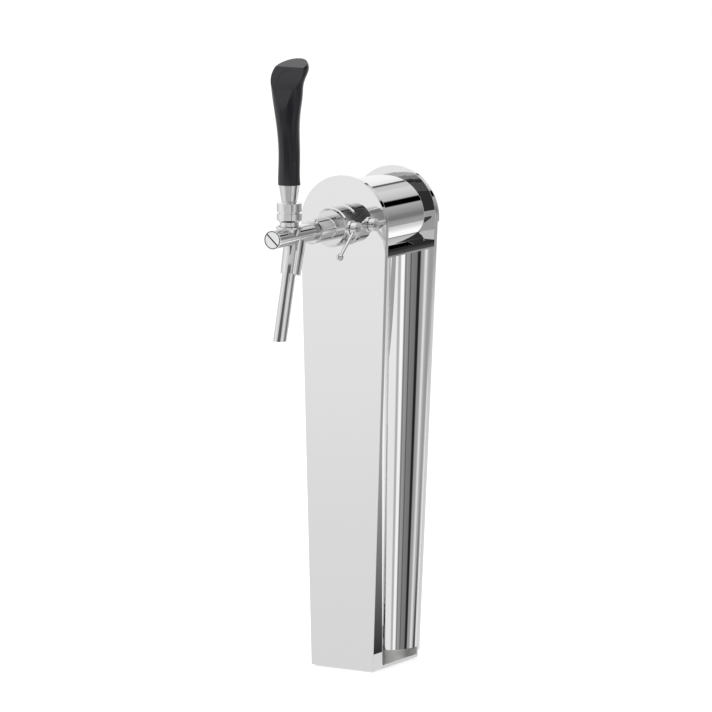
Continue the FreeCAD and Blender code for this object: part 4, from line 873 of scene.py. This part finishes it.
    def grade_screen(self, tree: bpy.types.NodeTree, flag: Flag) -> None:
        """Lets a flag's brightness change from its foot to its head.

        Args:
            tree: The node tree of the flag's material.
            flag: The flag, with its foot_level given.
        """
        place = tree.nodes.new("ShaderNodeNewGeometry")
        parts = tree.nodes.new("ShaderNodeSeparateXYZ")
        grade = tree.nodes.new("ShaderNodeMapRange")
        grade.inputs["From Min"].default_value = flag.middle[2] - flag.height / 2
        grade.inputs["From Max"].default_value = flag.middle[2] + flag.height / 2
        grade.inputs["To Min"].default_value = flag.foot_level
        grade.inputs["To Max"].default_value = flag.level
        tree.links.new(place.outputs["Position"], parts.inputs["Vector"])
        tree.links.new(parts.outputs["Z"], grade.inputs["Value"])
        tree.links.new(grade.outputs["Result"], tree.nodes["Principled BSDF"].inputs["Emission Color"])

    def build_screens(self) -> None:
        """Upright flags beside the tap and bent ones in front of it."""
        for flag in self.flags:
            middle = Vector(flag.middle)
            half = Vector(flag.run.value) * (flag.width / 2)
            tall = Vector((0.0, 0.0, flag.height / 2))
            corners = [middle - half - tall, middle + half - tall, middle + half + tall, middle - half + tall]
            tree = self.add_screen(flag.name, corners, [(0, 1, 2, 3)], flag.level)
            if flag.foot_level is not None:
                self.grade_screen(tree, flag)
        for arch in self.arches:
            count = max(2, round((arch.end - arch.start) / self.arch_step))
            corners: list[Vector] = []
            for index in range(count + 1):
                turn = math.radians(arch.start + (arch.end - arch.start) * index / count)
                outward = Vector((math.cos(turn), 0.0, math.sin(turn)))
                centre = Vector((0.0, self.arch_depth, self.tap_axis))
                corners.extend((centre + outward * arch.inner, centre + outward * arch.outer))
            faces = [(2 * index, 2 * index + 1, 2 * index + 3, 2 * index + 2) for index in range(count)]
            self.add_screen(arch.name, corners, faces, arch.level)

    def build_floor(self) -> None:
        """A pale floor that looks white to the camera and keeps the tower's shadow."""
        half = self.floor_half
        mesh = bpy.data.meshes.new("studio_floor")
        corners = [(-half, -half, 0), (half, -half, 0), (half, half, 0), (-half, half, 0)]
        mesh.from_pydata(corners, [], [(0, 1, 2, 3)])
        floor = bpy.data.objects.new("studio_floor", mesh)
        bpy.context.scene.collection.objects.link(floor)
        paint = bpy.data.materials.new("floor_paint")
        paint.use_nodes = True
        tree = paint.node_tree
        shader = tree.nodes["Principled BSDF"]
        tone = self.floor_tone
        shader.inputs["Base Color"].default_value = (tone, tone, tone, 1.0)
        shader.inputs["Roughness"].default_value = self.floor_roughness
        shader.inputs["Specular IOR Level"].default_value = 0.0
        shader.inputs["Emission Color"].default_value = (1.0, 1.0, 1.0, 1.0)
        path = tree.nodes.new("ShaderNodeLightPath")
        lift = add_math(tree, "MULTIPLY", path.outputs["Is Camera Ray"], self.floor_lift)
        tree.links.new(lift, shader.inputs["Emission Strength"])
        mesh.materials.append(paint)
        floor.visible_glossy = False

    def build_lamps(self) -> None:
        """A large key from the upper left and a fill from the right."""
        aim = Vector(self.lamp_aim)
        for lamp in self.lamps:
            data = bpy.data.lights.new(lamp.name, "AREA")
            data.size = lamp.size
            data.energy = lamp.power
            place = Vector(lamp.place)
            made = bpy.data.objects.new(lamp.name, data)
            made.location = place
            made.rotation_euler = (aim - place).to_track_quat("-Z", "Y").to_euler()
            made.visible_glossy = False
            bpy.context.scene.collection.objects.link(made)
            LOG.info("lamp %s: %.0f W", lamp.name, lamp.power)

    def build(self) -> None:
        """Builds the whole studio."""
        bpy.context.scene.view_settings.view_transform = "Standard"
        self.build_world()
        self.build_floor()
        self.build_screens()
        self.build_lamps()


@dataclass
class Viewpoint:
    """The camera: a long lens, from the right and a little above."""

    azimuth: float = 30.779
    elevation: float = 8.755
    roll: float = 0.152
    distance: float = 5.8449
    lens: float = 302.45
    sensor: float = 36.0
    across: float = 0.012683
    raised: float = 0.304787
    plate_front: float = -0.04475
    plate_foot: float = 0.0015
    sight: float = 100.0

    def build(self) -> None:
        """Adds the camera and makes it the scene's own."""
        turn = math.radians(self.azimuth)
        rise = math.radians(self.elevation)
        tilt = math.radians(self.roll)
        back = Vector((math.sin(turn) * math.cos(rise), -math.cos(turn) * math.cos(rise), math.sin(rise)))
        level = Vector((math.cos(turn), math.sin(turn), 0.0))
        upright = back.cross(level)
        aim = level * self.across + upright * self.raised + Vector((0.0, self.plate_front, self.plate_foot))
        right = level * math.cos(tilt) + upright * math.sin(tilt)
        top = upright * math.cos(tilt) - level * math.sin(tilt)
        data = bpy.data.cameras.new("viewpoint")
        data.lens = self.lens
        data.sensor_width = self.sensor
        data.clip_end = self.sight
        camera = bpy.data.objects.new("viewpoint", data)
        turned = Matrix((right, top, back)).transposed().to_4x4()
        camera.matrix_world = Matrix.Translation(aim + back * self.distance) @ turned
        bpy.context.scene.collection.objects.link(camera)
        bpy.context.scene.camera = camera
        LOG.info("camera %.2f m away", self.distance)


def main() -> None:
    """Dresses the tower and builds the studio round it."""
    logging.basicConfig(level=logging.INFO, format="%(message)s")
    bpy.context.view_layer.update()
    for assembly in (Tower(), BeerPath(), FlowControl(), Tap()):
        assembly.dress()
    Studio().build()
    Viewpoint().build()


if __name__ == "__main__":
    main()
